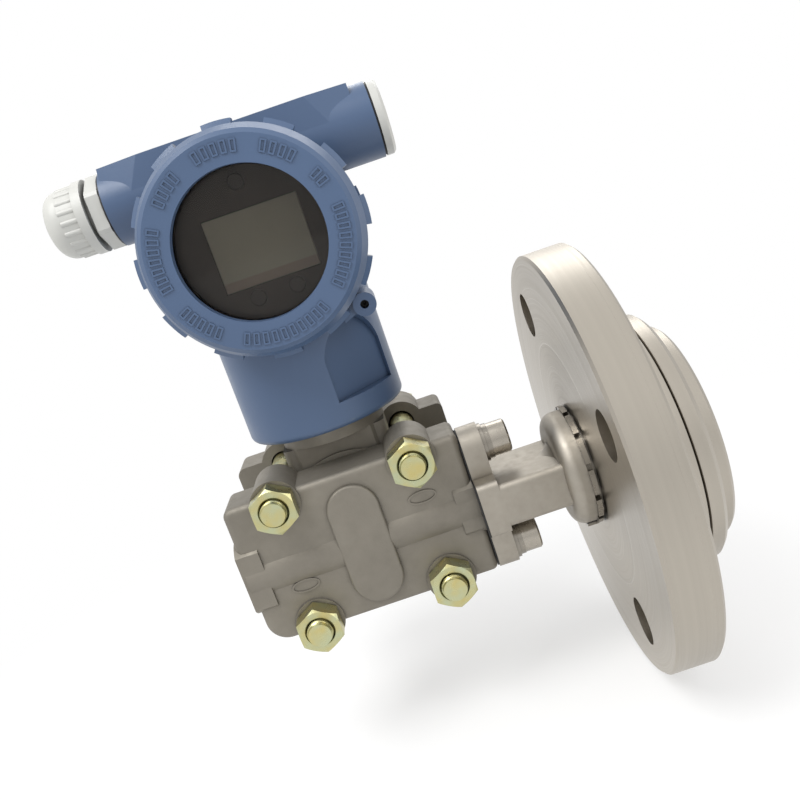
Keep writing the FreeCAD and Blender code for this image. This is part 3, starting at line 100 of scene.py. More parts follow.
# ------------------------------------------------------------------ node helpers
class Graph:
    """The node tree of a material or world, with short calls for the nodes used here."""

    def __init__(self, owner):
        owner.use_nodes = True
        self.owner = owner
        self.tree = owner.node_tree
        self.shader = self.tree.nodes.get("Principled BSDF")

    def set(self, **values):
        """Constant shader inputs, an underscore standing for a space."""
        for key, value in values.items():
            self.shader.inputs[key.replace("_", " ")].default_value = value

    def add(self, kind, settings=None, **inputs):
        node = self.tree.nodes.new(kind)
        for key, value in (settings or {}).items():
            setattr(node, key, value)
        for key, value in inputs.items():
            self.feed(node.inputs[key.replace("_", " ")], value)
        return node

    def feed(self, socket, value):
        if isinstance(value, bpy.types.NodeSocket):
            self.tree.links.new(value, socket)
        else:
            socket.default_value = value

    def point(self):
        return self.add("ShaderNodeTexCoord").outputs["Object"]

    def noise(self, scale, vector=None, detail=3.0, roughness=0.55):
        node = self.add("ShaderNodeTexNoise", Scale=scale, Detail=detail, Roughness=roughness)
        self.feed(node.inputs["Vector"], vector or self.point())
        return node.outputs["Fac"]

    def span(self, value, low, high, to_low, to_high):
        node = self.add("ShaderNodeMapRange", Value=value)
        node.inputs["From Min"].default_value = low
        node.inputs["From Max"].default_value = high
        node.inputs["To Min"].default_value = to_low
        node.inputs["To Max"].default_value = to_high
        return node.outputs["Result"]

    def math(self, operation, first, second=0.0, third=0.0):
        node = self.add("ShaderNodeMath", {"operation": operation})
        for socket, value in zip(node.inputs, (first, second, third)):
            self.feed(socket, value)
        return node.outputs[0]

    def mix(self, factor, first, second):
        node = self.add("ShaderNodeMix", {"data_type": "RGBA"})
        self.feed(node.inputs[0], factor)
        for socket, value in ((node.inputs[6], first), (node.inputs[7], second)):
            self.feed(socket, value if isinstance(value, bpy.types.NodeSocket) else (*value, 1.0))
        return node.outputs[2]

    def colour(self, socket, painted_crevice_shade=True):
        """Base colour, with painted shade that darkens it where faces lie close together."""
        if painted_crevice_shade:
            # painted shade: ambient occlusion darkens the colour in creases and between parts
            node = self.add("ShaderNodeAmbientOcclusion", {"samples": 6}, Distance=PAINTED_SHADE_REACH)
            socket = self.mix(self.span(node.outputs["AO"], 0.1, 0.75, 0.25, 1.0), (0.0, 0.0, 0.0), socket)
        self.feed(self.shader.inputs["Base Color"], socket)

    def roughness(self, socket):
        self.feed(self.shader.inputs["Roughness"], socket)

    def bump(self, height, distance, strength=1.0, before=None):
        node = self.add("ShaderNodeBump", Height=height, Distance=distance, Strength=strength)
        if before is not None:
            self.feed(node.inputs["Normal"], before)
        self.feed(self.shader.inputs["Normal"], node.outputs["Normal"])
        return node.outputs["Normal"]

    def split(self, vector, centre=(0, 0, 0)):
        """Coordinates measured from a centre."""
        moved = self.add("ShaderNodeVectorMath", {"operation": "SUBTRACT"})
        self.feed(moved.inputs[0], vector)
        moved.inputs[1].default_value = centre
        parts = self.add("ShaderNodeSeparateXYZ", Vector=moved.outputs[0])
        return parts.outputs["X"], parts.outputs["Y"], parts.outputs["Z"]

    def radius(self, first, second):
        return self.math("SQRT", self.math("ADD", self.math("MULTIPLY", first, first),
                                           self.math("MULTIPLY", second, second)))

    def join(self, x, y, z):
        return self.add("ShaderNodeCombineXYZ", X=x, Y=y, Z=z).outputs[0]


def new_material(name):
    return Graph(bpy.data.materials.new(name))


def dress(material, *names):
    """One finish on every face of these CAD nodes."""
    for name in names:
        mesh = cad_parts[name].data
        mesh.materials.clear()
        mesh.materials.append(material)


def settings():
    return bpy.context.scene.transmitter_looks


# ------------------------------------------------------------------ finishes
def paint_material(look):
    """Satin powder coat with a very fine orange peel; the covers' threads are left bare."""
    g = new_material("housing_paint")
    g.set(Specular_IOR_Level=0.5, Coat_Roughness=0.22)
    x, y, z = g.split(g.point(), cover_axis_middle())
    around = g.math("COMPARE", g.radius(x, z), look.cover_thread_radius, COVER_THREAD_BAND)
    along = g.math("COMPARE", g.math("ABSOLUTE", y), COVER_THREAD_MIDDLE, COVER_THREAD_HALF)
    bare = g.math("MULTIPLY", around, along)
    tone = g.noise(18.0, detail=2.0)
    base = Vector(look.paint)
    coat = g.mix(g.span(tone, 0.3, 0.7, 0.0, 1.0), base * 0.94, base * 1.05)
    g.colour(g.mix(bare, coat, (0.6, 0.6, 0.58)))
    g.feed(g.shader.inputs["Metallic"], bare)
    g.roughness(g.span(g.noise(90.0), 0.3, 0.7, look.paint_roughness - 0.03, look.paint_roughness + 0.05))
    turn = g.math("DIVIDE", g.math("ARCTAN2", z, x), 2 * math.pi)
    ridge = g.math("PINGPONG", g.math("ADD", g.math("DIVIDE", y, look.cover_pitch), turn), 0.5)
    peel = g.bump(g.noise(520.0, detail=1.5), 0.00006, 0.5)
    wavy = g.bump(g.noise(55.0, detail=1.0), 0.00012, 0.35, peel)
    g.bump(g.math("MULTIPLY", ridge, bare), 0.0012, 1.0, wavy)
    return g.owner


def cover_axis_middle():
    """Point on the covers' axis, halfway between the front and the rear mouth."""
    window_low, window_high = (Vector(corner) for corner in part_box("window_glass"))
    swivel = (Vector(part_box("front_isolator")[0]) + Vector(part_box("rear_isolator")[1])) / 2
    middle = (window_low + window_high) / 2
    return (middle.x, swivel.y, middle.z)


def cast_material(look):
    """Blasted investment casting: warm grey with a fine even grain."""
    g = new_material("cast_steel")
    g.set(Metallic=0.55, Specular_IOR_Level=0.4)
    base = Vector(look.cast)
    broad = g.span(g.noise(26.0, detail=4.0), 0.3, 0.7, 0.0, 1.0)
    g.colour(g.mix(broad, base * 0.88, base * 1.1))
    g.roughness(g.span(g.noise(200.0), 0.3, 0.7, 0.5, 0.66))
    grain = g.bump(g.noise(1500.0, detail=2.0), 0.0001, 0.55)
    g.bump(g.noise(90.0, detail=2.0), 0.0003, 0.3, grain)
    return g.owner


def zinc_material(look):
    """Yellow passivation that drifts a little towards green and pink."""
    g = new_material("yellow_zinc")
    g.set(Metallic=0.95)
    base = Vector(look.zinc)
    drift = g.span(g.noise(160.0, detail=2.0), 0.3, 0.7, 0.0, 1.0)
    pink = (base[0] * 1.05, base[1] * 0.93, base[2] * 0.75)
    green = (base[0] * 0.92, base[1], base[2] * 1.2)
    g.colour(g.mix(drift, pink, green))
    g.roughness(g.span(g.noise(420.0), 0.3, 0.7, 0.24, 0.4))
    g.bump(g.noise(900.0), 0.00004, 0.4)
    return g.owner


def turned_material(look, name, tone=1.0):
    """Steel turned about the seal's axis: rings on its faces, fine grooves along its rims."""
    g = new_material(name)
    g.set(Metallic=1.0, Specular_IOR_Level=0.5)
    x, y, z = g.split(g.point())
    ring = g.radius(y, z)
    fine = g.noise(1.0, g.join(g.math("MULTIPLY", ring, 2600.0), g.math("MULTIPLY", x, 2600.0), 0.0), 2.0)
    wide = g.noise(1.0, g.join(g.math("MULTIPLY", ring, 420.0), g.math("MULTIPLY", x, 420.0), 0.0), 3.0)
    base = Vector(look.steel) * tone
    g.colour(g.mix(g.span(wide, 0.3, 0.7, 0.0, 1.0), base * 0.96, base * 1.03))
    g.roughness(g.span(fine, 0.3, 0.7, look.steel_roughness - 0.03, look.steel_roughness + 0.08))
    around = g.add("ShaderNodeTangent", {"direction_type": "RADIAL", "axis": "X"})
    g.feed(g.shader.inputs["Tangent"], around.outputs[0])
    g.set(Anisotropic=0.6)
    g.bump(fine, 0.00003, 0.5)
    return g.owner


def satin_material(look, name, tone=1.0, roughness=0.33):
    """Blasted and lightly polished stainless steel."""
    g = new_material(name)
    g.set(Metallic=1.0)
    base = Vector(look.steel) * tone
    g.colour(g.mix(g.span(g.noise(60.0), 0.3, 0.7, 0.0, 1.0), base * 0.93, base * 1.04))
    g.roughness(g.span(g.noise(350.0), 0.3, 0.7, roughness - 0.05, roughness + 0.08))
    g.bump(g.noise(1100.0, detail=2.0), 0.00006, 0.5)
    return g.owner


def plain_material(name, colour, roughness, grain=900.0, depth=0.00004, metallic=0.0):
    """Even colour with a fine grain."""
    g = new_material(name)
    g.set(Metallic=metallic)
    base = Vector(colour)
    g.colour(g.mix(g.noise(40.0), base * 0.95, base * 1.05))
    g.roughness(g.span(g.noise(grain * 0.5), 0.3, 0.7, roughness - 0.04, roughness + 0.04))
    if depth:
        g.bump(g.noise(grain), depth, 0.5)
    return g.owner


def glass_material(look):
    """Toughened window: clear, faintly smoked, with a sharp reflection."""
    g = new_material("window_glass")
    g.set(Transmission_Weight=1.0, Roughness=0.02, IOR=1.3, Specular_IOR_Level=0.1)
    g.set(Base_Color=(*look.window, 1.0))
    return g.owner


def lcd_material(look):
    """Grey-green display at rest with a darker, browner strip along its lower edge."""
    g = new_material("display_cell")
    g.set(Roughness=0.28, Specular_IOR_Level=0.5)
    low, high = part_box("lcd_panel")
    centre = (Vector(low) + Vector(high)) / 2
    x, y, z = g.split(g.point(), centre)
    strip = g.span(z, LEDGE_LOW, LEDGE_HIGH, 1.0, 0.0)
    base = Vector(look.display)
    ledge = (base[0] * 0.82, base[1] * 0.7, base[2] * 0.72)
    g.colour(g.mix(strip, g.mix(g.noise(30.0), base * 0.95, base * 1.05), ledge), False)
    return g.owner


# ------------------------------------------------------------------ mesh helpers
def make_object(name, vertices, faces, material, body, slot):
    mesh = bpy.data.meshes.new(name)
    mesh.from_pydata([tuple(v) for v in vertices], [], faces)
    mesh.validate()
    mesh.update()
    obj = bpy.data.objects.new(name, mesh)
    bpy.context.scene.collection.objects.link(obj)
    mesh.materials.append(material)
    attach(obj, body)
    return obj


def append_mesh(vertices, faces, more_vertices, more_faces):
    """Adds one mesh to another under construction."""
    start = len(vertices)
    vertices.extend(more_vertices)
    faces.extend(tuple(start + i for i in face) for face in more_faces)


def axes_for(axis):
    """Two directions across an axis."""
    axis = Vector(axis).normalized()
    side = Vector((0, 0, 1)) if abs(axis.z) < 0.9 else Vector((1, 0, 0))
    first = (side - axis * side.dot(axis)).normalized()
    return first, axis.cross(first)


def thread_mesh(start, axis, length, radius, pitch, depth, segments=48):
    """Closed skin of a helical thread round a shank."""
    first, second = axes_for(axis)
    axis = Vector(axis).normalized()
    turns = length / pitch
    rows = max(2, int(turns * 4)) + 1
    vertices, faces = [], []
    for row in range(rows):
        along = length * row / (rows - 1)
        for i in range(segments):
            angle = 2 * math.pi * i / segments
            phase = (along / pitch - i / segments) % 1.0
            height = depth * (1.0 - abs(2.0 * phase - 1.0))
            fade = min(1.0, along / pitch, (length - along) / pitch)
            r = radius - depth + height * fade
            out = first * math.cos(angle) + second * math.sin(angle)
            vertices.append(Vector(start) + axis * along + out * r)
    for row in range(rows - 1):
        for i in range(segments):
            j = (i + 1) % segments
            a, b = row * segments, (row + 1) * segments
            faces.append((a + i, a + j, b + j, b + i))
    faces.append(tuple(reversed(range(segments))))
    faces.append(tuple(range((rows - 1) * segments, rows * segments)))
    return vertices, faces


def arc_bar(centre, radius, width, angle, sweep, y_low, y_high, steps=6):
    """Raised bar that follows a circle on the XZ plane; angles in radians from the top."""
    vertices, faces = [], []
    for step in range(steps + 1):
        turn = angle - sweep / 2 + sweep * step / steps
        out = Vector((math.sin(turn), 0, math.cos(turn)))
        for r in (radius - width / 2, radius + width / 2):
            for y in (y_low, y_high):
                vertices.append(Vector((centre[0], y, centre[2])) + out * r)
    for step in range(steps):
        a = step * 4
        b = a + 4
        faces += [(a, a + 1, b + 1, b), (a + 1, a + 3, b + 3, b + 1),
                  (a + 3, a + 2, b + 2, b + 3), (a + 2, a, b, b + 2)]
    faces += [(0, 2, 3, 1), (steps * 4, steps * 4 + 1, steps * 4 + 3, steps * 4 + 2)]
    return vertices, faces


# ------------------------------------------------------------------ sidebar settings
class TransmitterLooks(bpy.types.PropertyGroup):
    paint: FloatVectorProperty(name="Paint", description="Powder coat colour", subtype="COLOR",
                               default=(0.066, 0.109, 0.198))
    paint_roughness: FloatProperty(name="Paint roughness", description="Gloss of the powder coat",
                                   default=0.36, min=0.0, max=1.0)
    cast: FloatVectorProperty(name="Casting", description="Blasted cast steel colour", subtype="COLOR",
                              default=(0.24, 0.22, 0.185))
    steel: FloatVectorProperty(name="Steel", description="Machined stainless steel colour", subtype="COLOR",
                               default=(0.44, 0.405, 0.35))
    steel_roughness: FloatProperty(name="Steel roughness", description="Gloss of the turned faces",
                                   default=0.3, min=0.0, max=1.0)
    zinc: FloatVectorProperty(name="Zinc", description="Yellow passivated zinc colour", subtype="COLOR",
                              default=(0.53, 0.52, 0.28))
    nylon: FloatVectorProperty(name="Nylon", description="Colour of the cable gland and the plug",
                               subtype="COLOR", default=(0.54, 0.54, 0.51))
    window: FloatVectorProperty(name="Window", description="Tint of the window", subtype="COLOR",
                                default=(0.62, 0.58, 0.54))
    display: FloatVectorProperty(name="Display", description="Display cell at rest", subtype="COLOR",
                                 default=(0.265, 0.28, 0.235))
    cover_thread_radius: FloatProperty(name="Cover thread radius", default=0.035, unit="LENGTH", precision=5,
                                       description="Radius of the bare cover threads")
    cover_pitch: FloatProperty(name="Cover pitch", description="Thread pitch of both covers", default=0.002,
                               unit="LENGTH", precision=5)
    thread_pitch: FloatProperty(name="Bolt pitch", description="Thread pitch of the flange bolts",
                                default=0.0015, unit="LENGTH", precision=5)
    thread_depth: FloatProperty(name="Thread depth", description="Height of the bolt thread",
                                default=0.0006, unit="LENGTH", precision=5)
    bolt_radius: FloatProperty(name="Bolt radius", description="Outer radius of the bolt thread",
                               default=0.005, unit="LENGTH", precision=5)
    mark_height: FloatProperty(name="Mark height", description="How far the cast marks stand up",
                               default=0.0004, unit="LENGTH", precision=5)
    mark_radius: FloatProperty(name="Mark radius", default=0.0317, unit="LENGTH", precision=5,
                               description="Radius of the ring of marks on the front cover")
    view_azimuth: FloatProperty(name="View azimuth", description="Camera turn round the object", default=0.9)
    view_elevation: FloatProperty(name="View elevation", description="Camera height angle", default=13.46)
    view_roll: FloatProperty(name="View roll", description="Camera roll", default=19.03)
    lens: FloatProperty(name="Lens", description="Focal length in millimetres", default=39.96)
    key_power: FloatProperty(name="Key light", description="Power of the main soft light", default=9.0)
    fill_power: FloatProperty(name="Fill light", description="Power of the side light", default=3.0)


# ------------------------------------------------------------------ operators
class TRANSMITTER_OT_painted(bpy.types.Operator):
    """Paint the housing and both covers"""
    bl_idname = "transmitter.painted"
    bl_label = "Painted castings"

    def execute(self, context):
        dress(paint_material(settings()), "housing", "front_cover", "rear_cover")
        return {"FINISHED"}


class TRANSMITTER_OT_metals(bpy.types.Operator):
    """Finish the castings, bolts, adapter, flange and seal head"""
    bl_idname = "transmitter.metals"
    bl_label = "Bare metals"

    def execute(self, context):
        look = settings()
        dress(cast_material(look), "front_process_flange", "rear_process_flange", "sensor_module")
        fasteners = ["flange_%s_%d" % (kind, i) for kind in ("bolt", "nut") for i in FASTENERS]
        dress(zinc_material(look), *fasteners)
        dress(turned_material(look, "turned_steel"), "mounting_flange", "seal_head")
        dress(satin_material(look, "blasted_steel", 0.9, 0.5), "seal_adapter", "shoulder_ring")
        dress(satin_material(look, "satin_steel"), "process_diaphragm", "front_isolator",
              "rear_isolator", "front_drain_plug", "rear_drain_plug", "terminal_screw_1", "terminal_screw_2",
              "terminal_screw_3")
        # near-black lock screws: black-oxide steel, and on the cover lock screw also painted shade for the
        # dark hole in its boss
        dress(plain_material("black_oxide_and_hole_shade", (0.03, 0.03, 0.032), 0.4, metallic=0.6), "cover_lock_screw",
              "swivel_lock_screw")
        # washers toned 0.7, darker than the screws above them: painted shade between the parts
        dress(satin_material(look, "washer_steel_painted_shade", 0.7, 0.28), "tab_washer", "upper_flat_washer",
              "lower_flat_washer", "upper_spring_washer", "lower_spring_washer")
        dress(satin_material(look, "screw_steel", 0.95, 0.26), "upper_adapter_screw", "lower_adapter_screw")
        return {"FINISHED"}


class TRANSMITTER_OT_plastics(bpy.types.Operator):
    """Finish the plastics, seals, window and display"""
    bl_idname = "transmitter.plastics"
    bl_label = "Plastics and display"

    def execute(self, context):
        look = settings()
        dress(plain_material("nylon", look.nylon, 0.42), "gland_body", "gland_nut", "blanking_plug")
        dress(plain_material("black_rubber", (0.018, 0.018, 0.018), 0.6), "gland_washer", "plug_washer",
              "gland_seal", "neck_oring", "front_cover_oring", "rear_cover_oring", "window_gasket")
        dress(plain_material("white_seal", (0.78, 0.78, 0.75), 0.5), "adapter_gasket", "front_flange_gasket",
              "rear_flange_gasket")
        dress(glass_material(look), "window_glass")
        dress(plain_material("dark_bezel", (0.035, 0.027, 0.021), 0.6, depth=0.0), "display_bezel",
              "glass_ring")
        dress(lcd_material(look), "lcd_panel")
        dress(plain_material("dark_button", (0.022, 0.018, 0.016), 0.45, depth=0.0), "upper_button",
              "left_button", "right_button")
        dress(plain_material("circuit_board", (0.02, 0.12, 0.06), 0.4), "display_board")
        dress(plain_material("potting", (0.02, 0.02, 0.022), 0.35), "electronics_module", "terminal_block")
        return {"FINISHED"}


class TRANSMITTER_OT_cover_marks(bpy.types.Operator):
    """Add plain raised frames, in groups, round the front cover's ring"""
    bl_idname = "transmitter.cover_marks"
    bl_label = "Cover marks"

    def execute(self, context):
        look = settings()
        low, high = (Vector(corner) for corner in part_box("front_cover"))
        centre = cover_axis_middle()
        top, foot = low.y - look.mark_height, low.y + look.mark_height
        vertices, faces = [], []
        gap = (2 * math.pi - sum(MARK_GROUPS) * MARK_STEP) / len(MARK_GROUPS)
        turn = MARK_START
        for count in MARK_GROUPS:
            for place in range(count):
                for bar in mark_frame(centre, look.mark_radius, turn, top, foot):
                    append_mesh(vertices, faces, *bar)
                turn += MARK_STEP
            turn += gap
        paint = bpy.data.materials["housing_paint"]
        make_object("cover_marks", vertices, faces, paint, FRONT_COVER, "paint")
        return {"FINISHED"}


def mark_frame(centre, radius, turn, top, foot):
    """Four raised strokes that close a small frame on the ring."""
    half = (MARK_WIDE - MARK_STROKE) / 2 / radius
    stroke = MARK_STROKE / radius
    for side in (-half, half):
        yield arc_bar(centre, radius, MARK_TALL, turn + side, stroke, top, foot, 1)
    for rise in (-1, 1):
        end = radius + rise * (MARK_TALL - MARK_STROKE) / 2
        yield arc_bar(centre, end, MARK_STROKE, turn, 2 * half - stroke, top, foot, 2)


class TRANSMITTER_OT_cast_marks(bpy.types.Operator):
    """Add empty oval cast marks on the outer faces of both process flanges"""
    bl_idname = "transmitter.cast_marks"
    bl_label = "Cast marks"

    def execute(self, context):
        look = settings()
        middle = cover_axis_middle()
        vertices, faces = [], []
        for face, way in ((-FLANGE_FACE, -1), (2 * middle[1] + FLANGE_FACE, 1)):
            for x, z in OVAL_PLACES:
                ring = oval_ring((middle[0] + x, face, z), look.mark_height * way)
                append_mesh(vertices, faces, *ring)
        steel = bpy.data.materials["cast_steel"]
        make_object("oval_marks", vertices, faces, steel, BASE, "cast_stainless")
        return {"FINISHED"}


def oval_ring(centre, height, steps=40):
    """Raised flat-topped ring that follows an oval on the XZ plane."""
    vertices, faces = [], []
    for step in range(steps):
        turn = 2 * math.pi * step / steps
        for inset in (0.0, OVAL_STROKE):
            for rise in (-0.5 * height, height):
                vertices.append((centre[0] + (OVAL_LONG / 2 - inset) * math.cos(turn), centre[1] + rise,
                                 centre[2] + (OVAL_TALL / 2 - inset) * math.sin(turn)))
    for step in range(steps):
        a, b = step * 4, (step + 1) % steps * 4
        faces += [(a, b, b + 1, a + 1), (a + 1, b + 1, b + 3, a + 3), (a + 3, b + 3, b + 2, a + 2)]
    return vertices, faces


class TRANSMITTER_OT_gap_shade_sheet(bpy.types.Operator):
    """Add a dark sheet between the adapter's plate and the process flange, as painted shade for the gap
    there, in place of the white gasket
    """
    bl_idname = "transmitter.joint_sheet"
    bl_label = "Gap shade sheet"

    def execute(self, context):
        low, high = (Vector(corner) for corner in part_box("adapter_gasket"))
        upper, lower = (sum((Vector(c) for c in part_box(side + "_adapter_screw")), Vector()) / 2
                        for side in ("upper", "lower"))
        outline = sheet_outline(SHEET_WIDTH, SHEET_WAIST, SHEET_LOBE, (upper.z - lower.z) / 2)
        middle = (low + high) / 2
        vertices = [(x, middle.y + y, middle.z + z) for x in (low.x, high.x) for y, z in outline]
        count = len(outline)
        faces = [(i, (i + 1) % count, (i + 1) % count + count, i + count) for i in range(count)]
        faces += [tuple(reversed(range(count))), tuple(range(count, 2 * count))]
        # painted shade: a near-black sheet fills the joint so that the gap shows as its shadow
        material = plain_material("painted_gap_shade", (0.02, 0.02, 0.02), 0.6)
        sheet = make_object("joint_sheet", vertices, faces, material, BASE, "black_rubber")
        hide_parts("adapter_gasket")
        return {"FINISHED"}


def sheet_outline(width, waist, lobe, reach, steps=16):
    """Outline of the adapter's plate: a middle block with a round lobe above and below."""
    outline = []
    for sign in (1, -1):
        outline.append((sign * width / 2, -sign * waist / 2))
        outline.append((sign * width / 2, sign * waist / 2))
        for step in range(steps + 1):
            turn = math.pi * step / steps
            outline.append((sign * lobe / 2 * math.cos(turn), sign * (reach + lobe / 2 * math.sin(turn))))
        outline.insert(-steps - 1, (sign * lobe / 2, sign * waist / 2))
        outline.append((-sign * lobe / 2, sign * waist / 2))
    return outline


class TRANSMITTER_OT_fasteners(bpy.types.Operator):
    """Build the threaded flange bolts and their countersunk nuts over the plain solids"""
    bl_idname = "transmitter.fasteners"
    bl_label = "Bolts and nuts"

    def execute(self, context):
        look = settings()
        zinc = bpy.data.materials["yellow_zinc"]
        for i in FASTENERS:
            nut_low, nut_high = (Vector(corner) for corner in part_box("flange_nut_%d" % i))
            low, high = (Vector(corner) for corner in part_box("flange_bolt_%d" % i))
            width, thickness = flats(nut_low, nut_high), nut_high.y - nut_low.y
            axis = Vector(((low.x + high.x) / 2, 0, (low.z + high.z) / 2))
            inside = look.bolt_radius + NUT_CLEARANCE
            mesh = hex_mesh(axis + Vector((0, nut_high.y, 0)), -1, width, thickness, inside, COUNTERSINK)
            nut = make_object("threaded_nut_%d" % i, *mesh, zinc, BASE, "zinc")
            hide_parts("flange_nut_%d" % i)
            mesh = bolt_mesh(axis, low.y, high.y, 2 * nut_high.y - nut_low.y, width, look)
            bolt = make_object("threaded_bolt_%d" % i, *mesh, zinc, BASE, "zinc")
            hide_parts("flange_bolt_%d" % i)
        return {"FINISHED"}


def flats(low, high):
    """Width across flats of an upright hexagon with this box."""
    return min(high.x - low.x, high.z - low.z)


def bolt_mesh(axis, start, end, thread_end, width, look):
    """Bolt along Y: threaded end, plain shank and a hexagonal head."""
    vertices, faces = [], []
    thread = thread_mesh(axis + Vector((0, start, 0)), (0, 1, 0), thread_end - start, look.bolt_radius,
                         look.thread_pitch, look.thread_depth)
    shank = ring_mesh(axis, [(thread_end, 0.0), (thread_end, BOLT_SHANK), (end - BOLT_HEAD, BOLT_SHANK),
                             (end - BOLT_HEAD, 0.0)])
    head = hex_mesh(axis + Vector((0, end - BOLT_HEAD, 0)), 1, width, BOLT_HEAD, 0.0, 0.0)
    for part in (thread, shank, head):
        append_mesh(vertices, faces, *part)
    return vertices, faces


def hex_mesh(base, way, width, thickness, bore, countersink, segments=96):
    """Hexagon that points along Y with cone-cut corners, and a countersunk bore if it has one."""
    flat = width / 2
    vertices, faces = [], []
    rows = []
    for i in range(segments):
        turn = 2 * math.pi * i / segments
        side = edge(turn, flat)
        cut = CORNER_SLOPE * (side - flat)
        if bore:
            ring = [(bore, 0.0), (flat, 0.0), (side, cut), (side, thickness - cut), (flat, thickness),
                    (bore + countersink, thickness), (bore, thickness - countersink), (bore, 0.0)]
        else:
            ring = [(POINT_RADIUS, 0.0), (side, 0.0), (side, thickness - cut), (flat, thickness),
                    (POINT_RADIUS, thickness)]
        rows.append([base + Vector((radius * math.cos(turn), way * along, radius * math.sin(turn)))
                     for radius, along in ring])
    for level in zip(*rows):
        vertices.extend(level)
    for row in range(len(rows[0]) - 1):
        for i in range(segments):
            j = (i + 1) % segments
            a, b = row * segments, (row + 1) * segments
            face = (a + i, b + i, b + j, a + j)
            faces.append(face if way < 0 else face[::-1])
    return vertices, faces


def edge(turn, flat):
    """Distance from a hexagon's centre to its side, with corners at the top and bottom."""
    off = (turn + math.pi / 6) % (math.pi / 3) - math.pi / 6
    return flat / math.cos(off)


def ring_mesh(axis, profile, segments=48):
    """Turned shape along Y; profile points are (distance, radius)."""
    vertices, faces = [], []
    for along, radius in profile:
        for i in range(segments):
            turn = 2 * math.pi * i / segments
            r = max(radius, POINT_RADIUS)
            vertices.append(axis + Vector((r * math.cos(turn), along, r * math.sin(turn))))
    for row in range(len(profile) - 1):
        for i in range(segments):
            j = (i + 1) % segments
            a, b = row * segments, (row + 1) * segments
            faces.append((a + i, b + i, b + j, a + j))
    return vertices, faces


class TRANSMITTER_OT_stage(bpy.types.Operator):
    """Add the floor, soft lights and camera"""
    bl_idname = "transmitter.stage"
    bl_label = "Stage"

    def execute(self, context):
        look = settings()
        low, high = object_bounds()
        add_floor(low, high)
        add_world()
        add_lights(look, (low + high) / 2)
        add_camera(look)
        scene = context.scene
        scene.view_settings.view_transform = "Standard"
        return {"FINISHED"}


def add_floor(low, high):
    """Plain pale floor under the object that fades into the white backdrop."""
    mesh = bpy.data.meshes.new("floor")
    corners = [(x * FLOOR_HALF, y * FLOOR_HALF, 0) for x, y in ((-1, -1), (1, -1), (1, 1), (-1, 1))]
    mesh.from_pydata(corners, [], [(0, 1, 2, 3)])
    floor = bpy.data.objects.new("floor", mesh)
    floor.location = ((low.x + high.x) / 2, (low.y + high.y) / 2, low.z - FLOOR_GAP)
    bpy.context.scene.collection.objects.link(floor)
    mesh.materials.append(floor_material())
    floor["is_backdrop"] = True


def floor_material():
    """Pale paper near the object, plain white farther off."""
    g = new_material("floor_paper")
    g.set(Base_Color=(0.93, 0.93, 0.93, 1.0), Roughness=0.95)
    x, y, z = g.split(g.point())
    far = g.span(g.radius(x, y), 0.0, FLOOR_FADE, 0.45, 1.0)
    white = g.add("ShaderNodeEmission", Strength=1.0)
    white.inputs["Color"].default_value = WHITE
    blend = g.add("ShaderNodeMixShader", Fac=far)
    g.feed(blend.inputs[1], g.shader.outputs["BSDF"])
    g.feed(blend.inputs[2], white.outputs["Emission"])
    g.feed(g.tree.nodes["Material Output"].inputs["Surface"], blend.outputs["Shader"])
    return g.owner


def add_world():
    """White backdrop for the camera, softly shaded light for everything else."""
    world = bpy.data.worlds.new("studio")
    bpy.context.scene.world = world
    g = Graph(world)
    ray = g.add("ShaderNodeLightPath").outputs
    parts = g.add("ShaderNodeSeparateXYZ", Vector=g.add("ShaderNodeTexCoord").outputs["Generated"])
    mirrored = g.math("MAXIMUM", ray["Is Glossy Ray"], ray["Is Transmission Ray"])
    sky = g.span(parts.outputs["Z"], -0.5, 0.6, 0.55, 1.1)
    soft = g.span(parts.outputs["Z"], -0.6, 0.8, 0.3, 0.75)
    lit = g.math("MULTIPLY", soft, g.math("SUBTRACT", 1.0, mirrored))
    shown = g.math("ADD", g.math("MULTIPLY", sky, mirrored), lit)
    camera = ray["Is Camera Ray"]
    rest = g.math("MULTIPLY", shown, g.math("SUBTRACT", 1.0, camera))
    background = g.tree.nodes["Background"]
    g.feed(background.inputs["Strength"], g.math("ADD", rest, camera))
    background.inputs["Color"].default_value = WHITE


def add_light(name, place, target, size, power):
    data = bpy.data.lights.new(name, "AREA")
    data.shape = "RECTANGLE"
    data.size, data.size_y = size
    data.energy = power
    light = bpy.data.objects.new(name, data)
    bpy.context.scene.collection.objects.link(light)
    light.location = place
    light.rotation_mode = "QUATERNION"
    light.rotation_quaternion = (Vector(target) - Vector(place)).to_track_quat("-Z", "Y")
    light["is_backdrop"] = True


def add_lights(look, centre):
    add_light("key", centre + Vector((-0.45, -0.35, 0.95)), centre, (0.6, 0.6), look.key_power)
    add_light("fill", centre + Vector((0.8, -0.5, 0.25)), centre, (0.6, 0.9), look.fill_power)
    add_light("back", centre + Vector((0.3, 0.8, 0.7)), centre, (0.8, 0.5), look.fill_power)


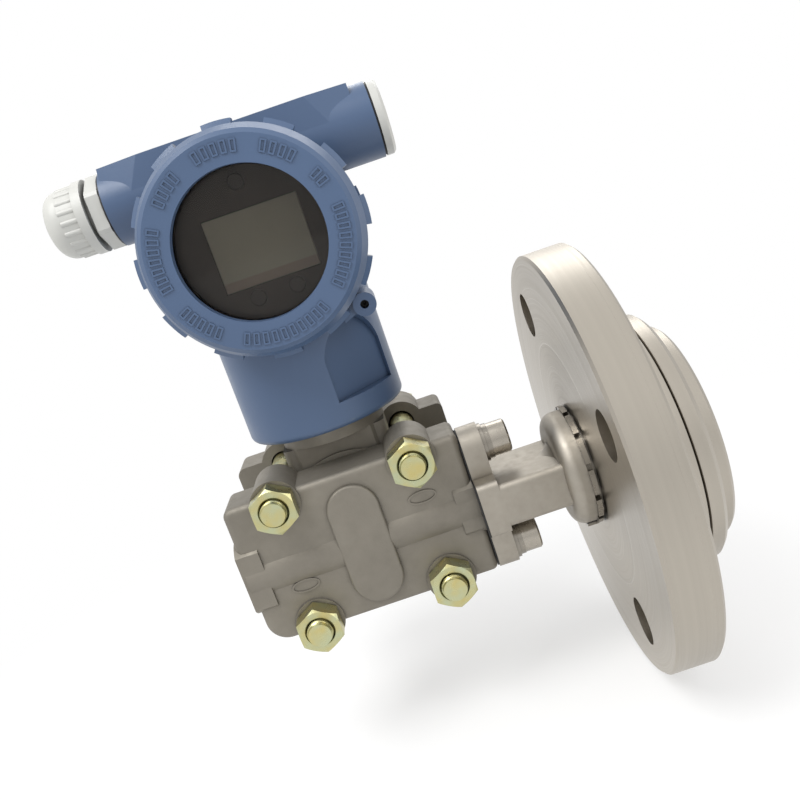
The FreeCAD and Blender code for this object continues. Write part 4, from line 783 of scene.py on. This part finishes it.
def add_camera(look):
    """Camera at the view angle, rolled about its own axis."""
    azimuth, elevation = math.radians(look.view_azimuth), math.radians(look.view_elevation)
    back = Vector((math.sin(azimuth) * math.cos(elevation), -math.cos(azimuth) * math.cos(elevation),
                   math.sin(elevation)))
    right = (-back).cross(Vector((0, 0, 1))).normalized()
    up = back.cross(right)
    turn = Matrix.Rotation(-math.radians(look.view_roll), 3, back)
    data = bpy.data.cameras.new("camera")
    data.lens = look.lens
    camera = bpy.data.objects.new("camera", data)
    bpy.context.scene.collection.objects.link(camera)
    columns = Matrix((turn @ right, turn @ up, back)).transposed()
    camera.matrix_world = Matrix.Translation(CAMERA_PLACE) @ columns.to_4x4()
    data.clip_start, data.clip_end = 0.01, 100.0
    bpy.context.scene.camera = camera
    camera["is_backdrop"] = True


class TRANSMITTER_PT_panel(bpy.types.Panel):
    """Sizes, colours and steps of the transmitter's looks"""
    bl_label = "Transmitter"
    bl_idname = "TRANSMITTER_PT_panel"
    bl_space_type = "VIEW_3D"
    bl_region_type = "UI"
    bl_category = "Transmitter"

    def draw(self, context):
        for name in TransmitterLooks.__annotations__:
            self.layout.prop(context.scene.transmitter_looks, name)
        for step in STEPS:
            self.layout.operator(step.bl_idname)


STEPS = (TRANSMITTER_OT_painted, TRANSMITTER_OT_metals, TRANSMITTER_OT_plastics,
         TRANSMITTER_OT_cover_marks, TRANSMITTER_OT_cast_marks, TRANSMITTER_OT_gap_shade_sheet,
         TRANSMITTER_OT_fasteners, TRANSMITTER_OT_stage)
CLASSES = (TransmitterLooks, *STEPS, TRANSMITTER_PT_panel)


def register():
    for cls in CLASSES:
        bpy.utils.register_class(cls)
    bpy.types.Scene.transmitter_looks = PointerProperty(type=TransmitterLooks)


def unregister():
    del bpy.types.Scene.transmitter_looks
    for cls in reversed(CLASSES):
        bpy.utils.unregister_class(cls)


def main():
    register()
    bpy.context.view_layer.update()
    for step in STEPS:
        group, name = step.bl_idname.split(".")
        getattr(getattr(bpy.ops, group), name)()


if __name__ == "__main__":
    main()
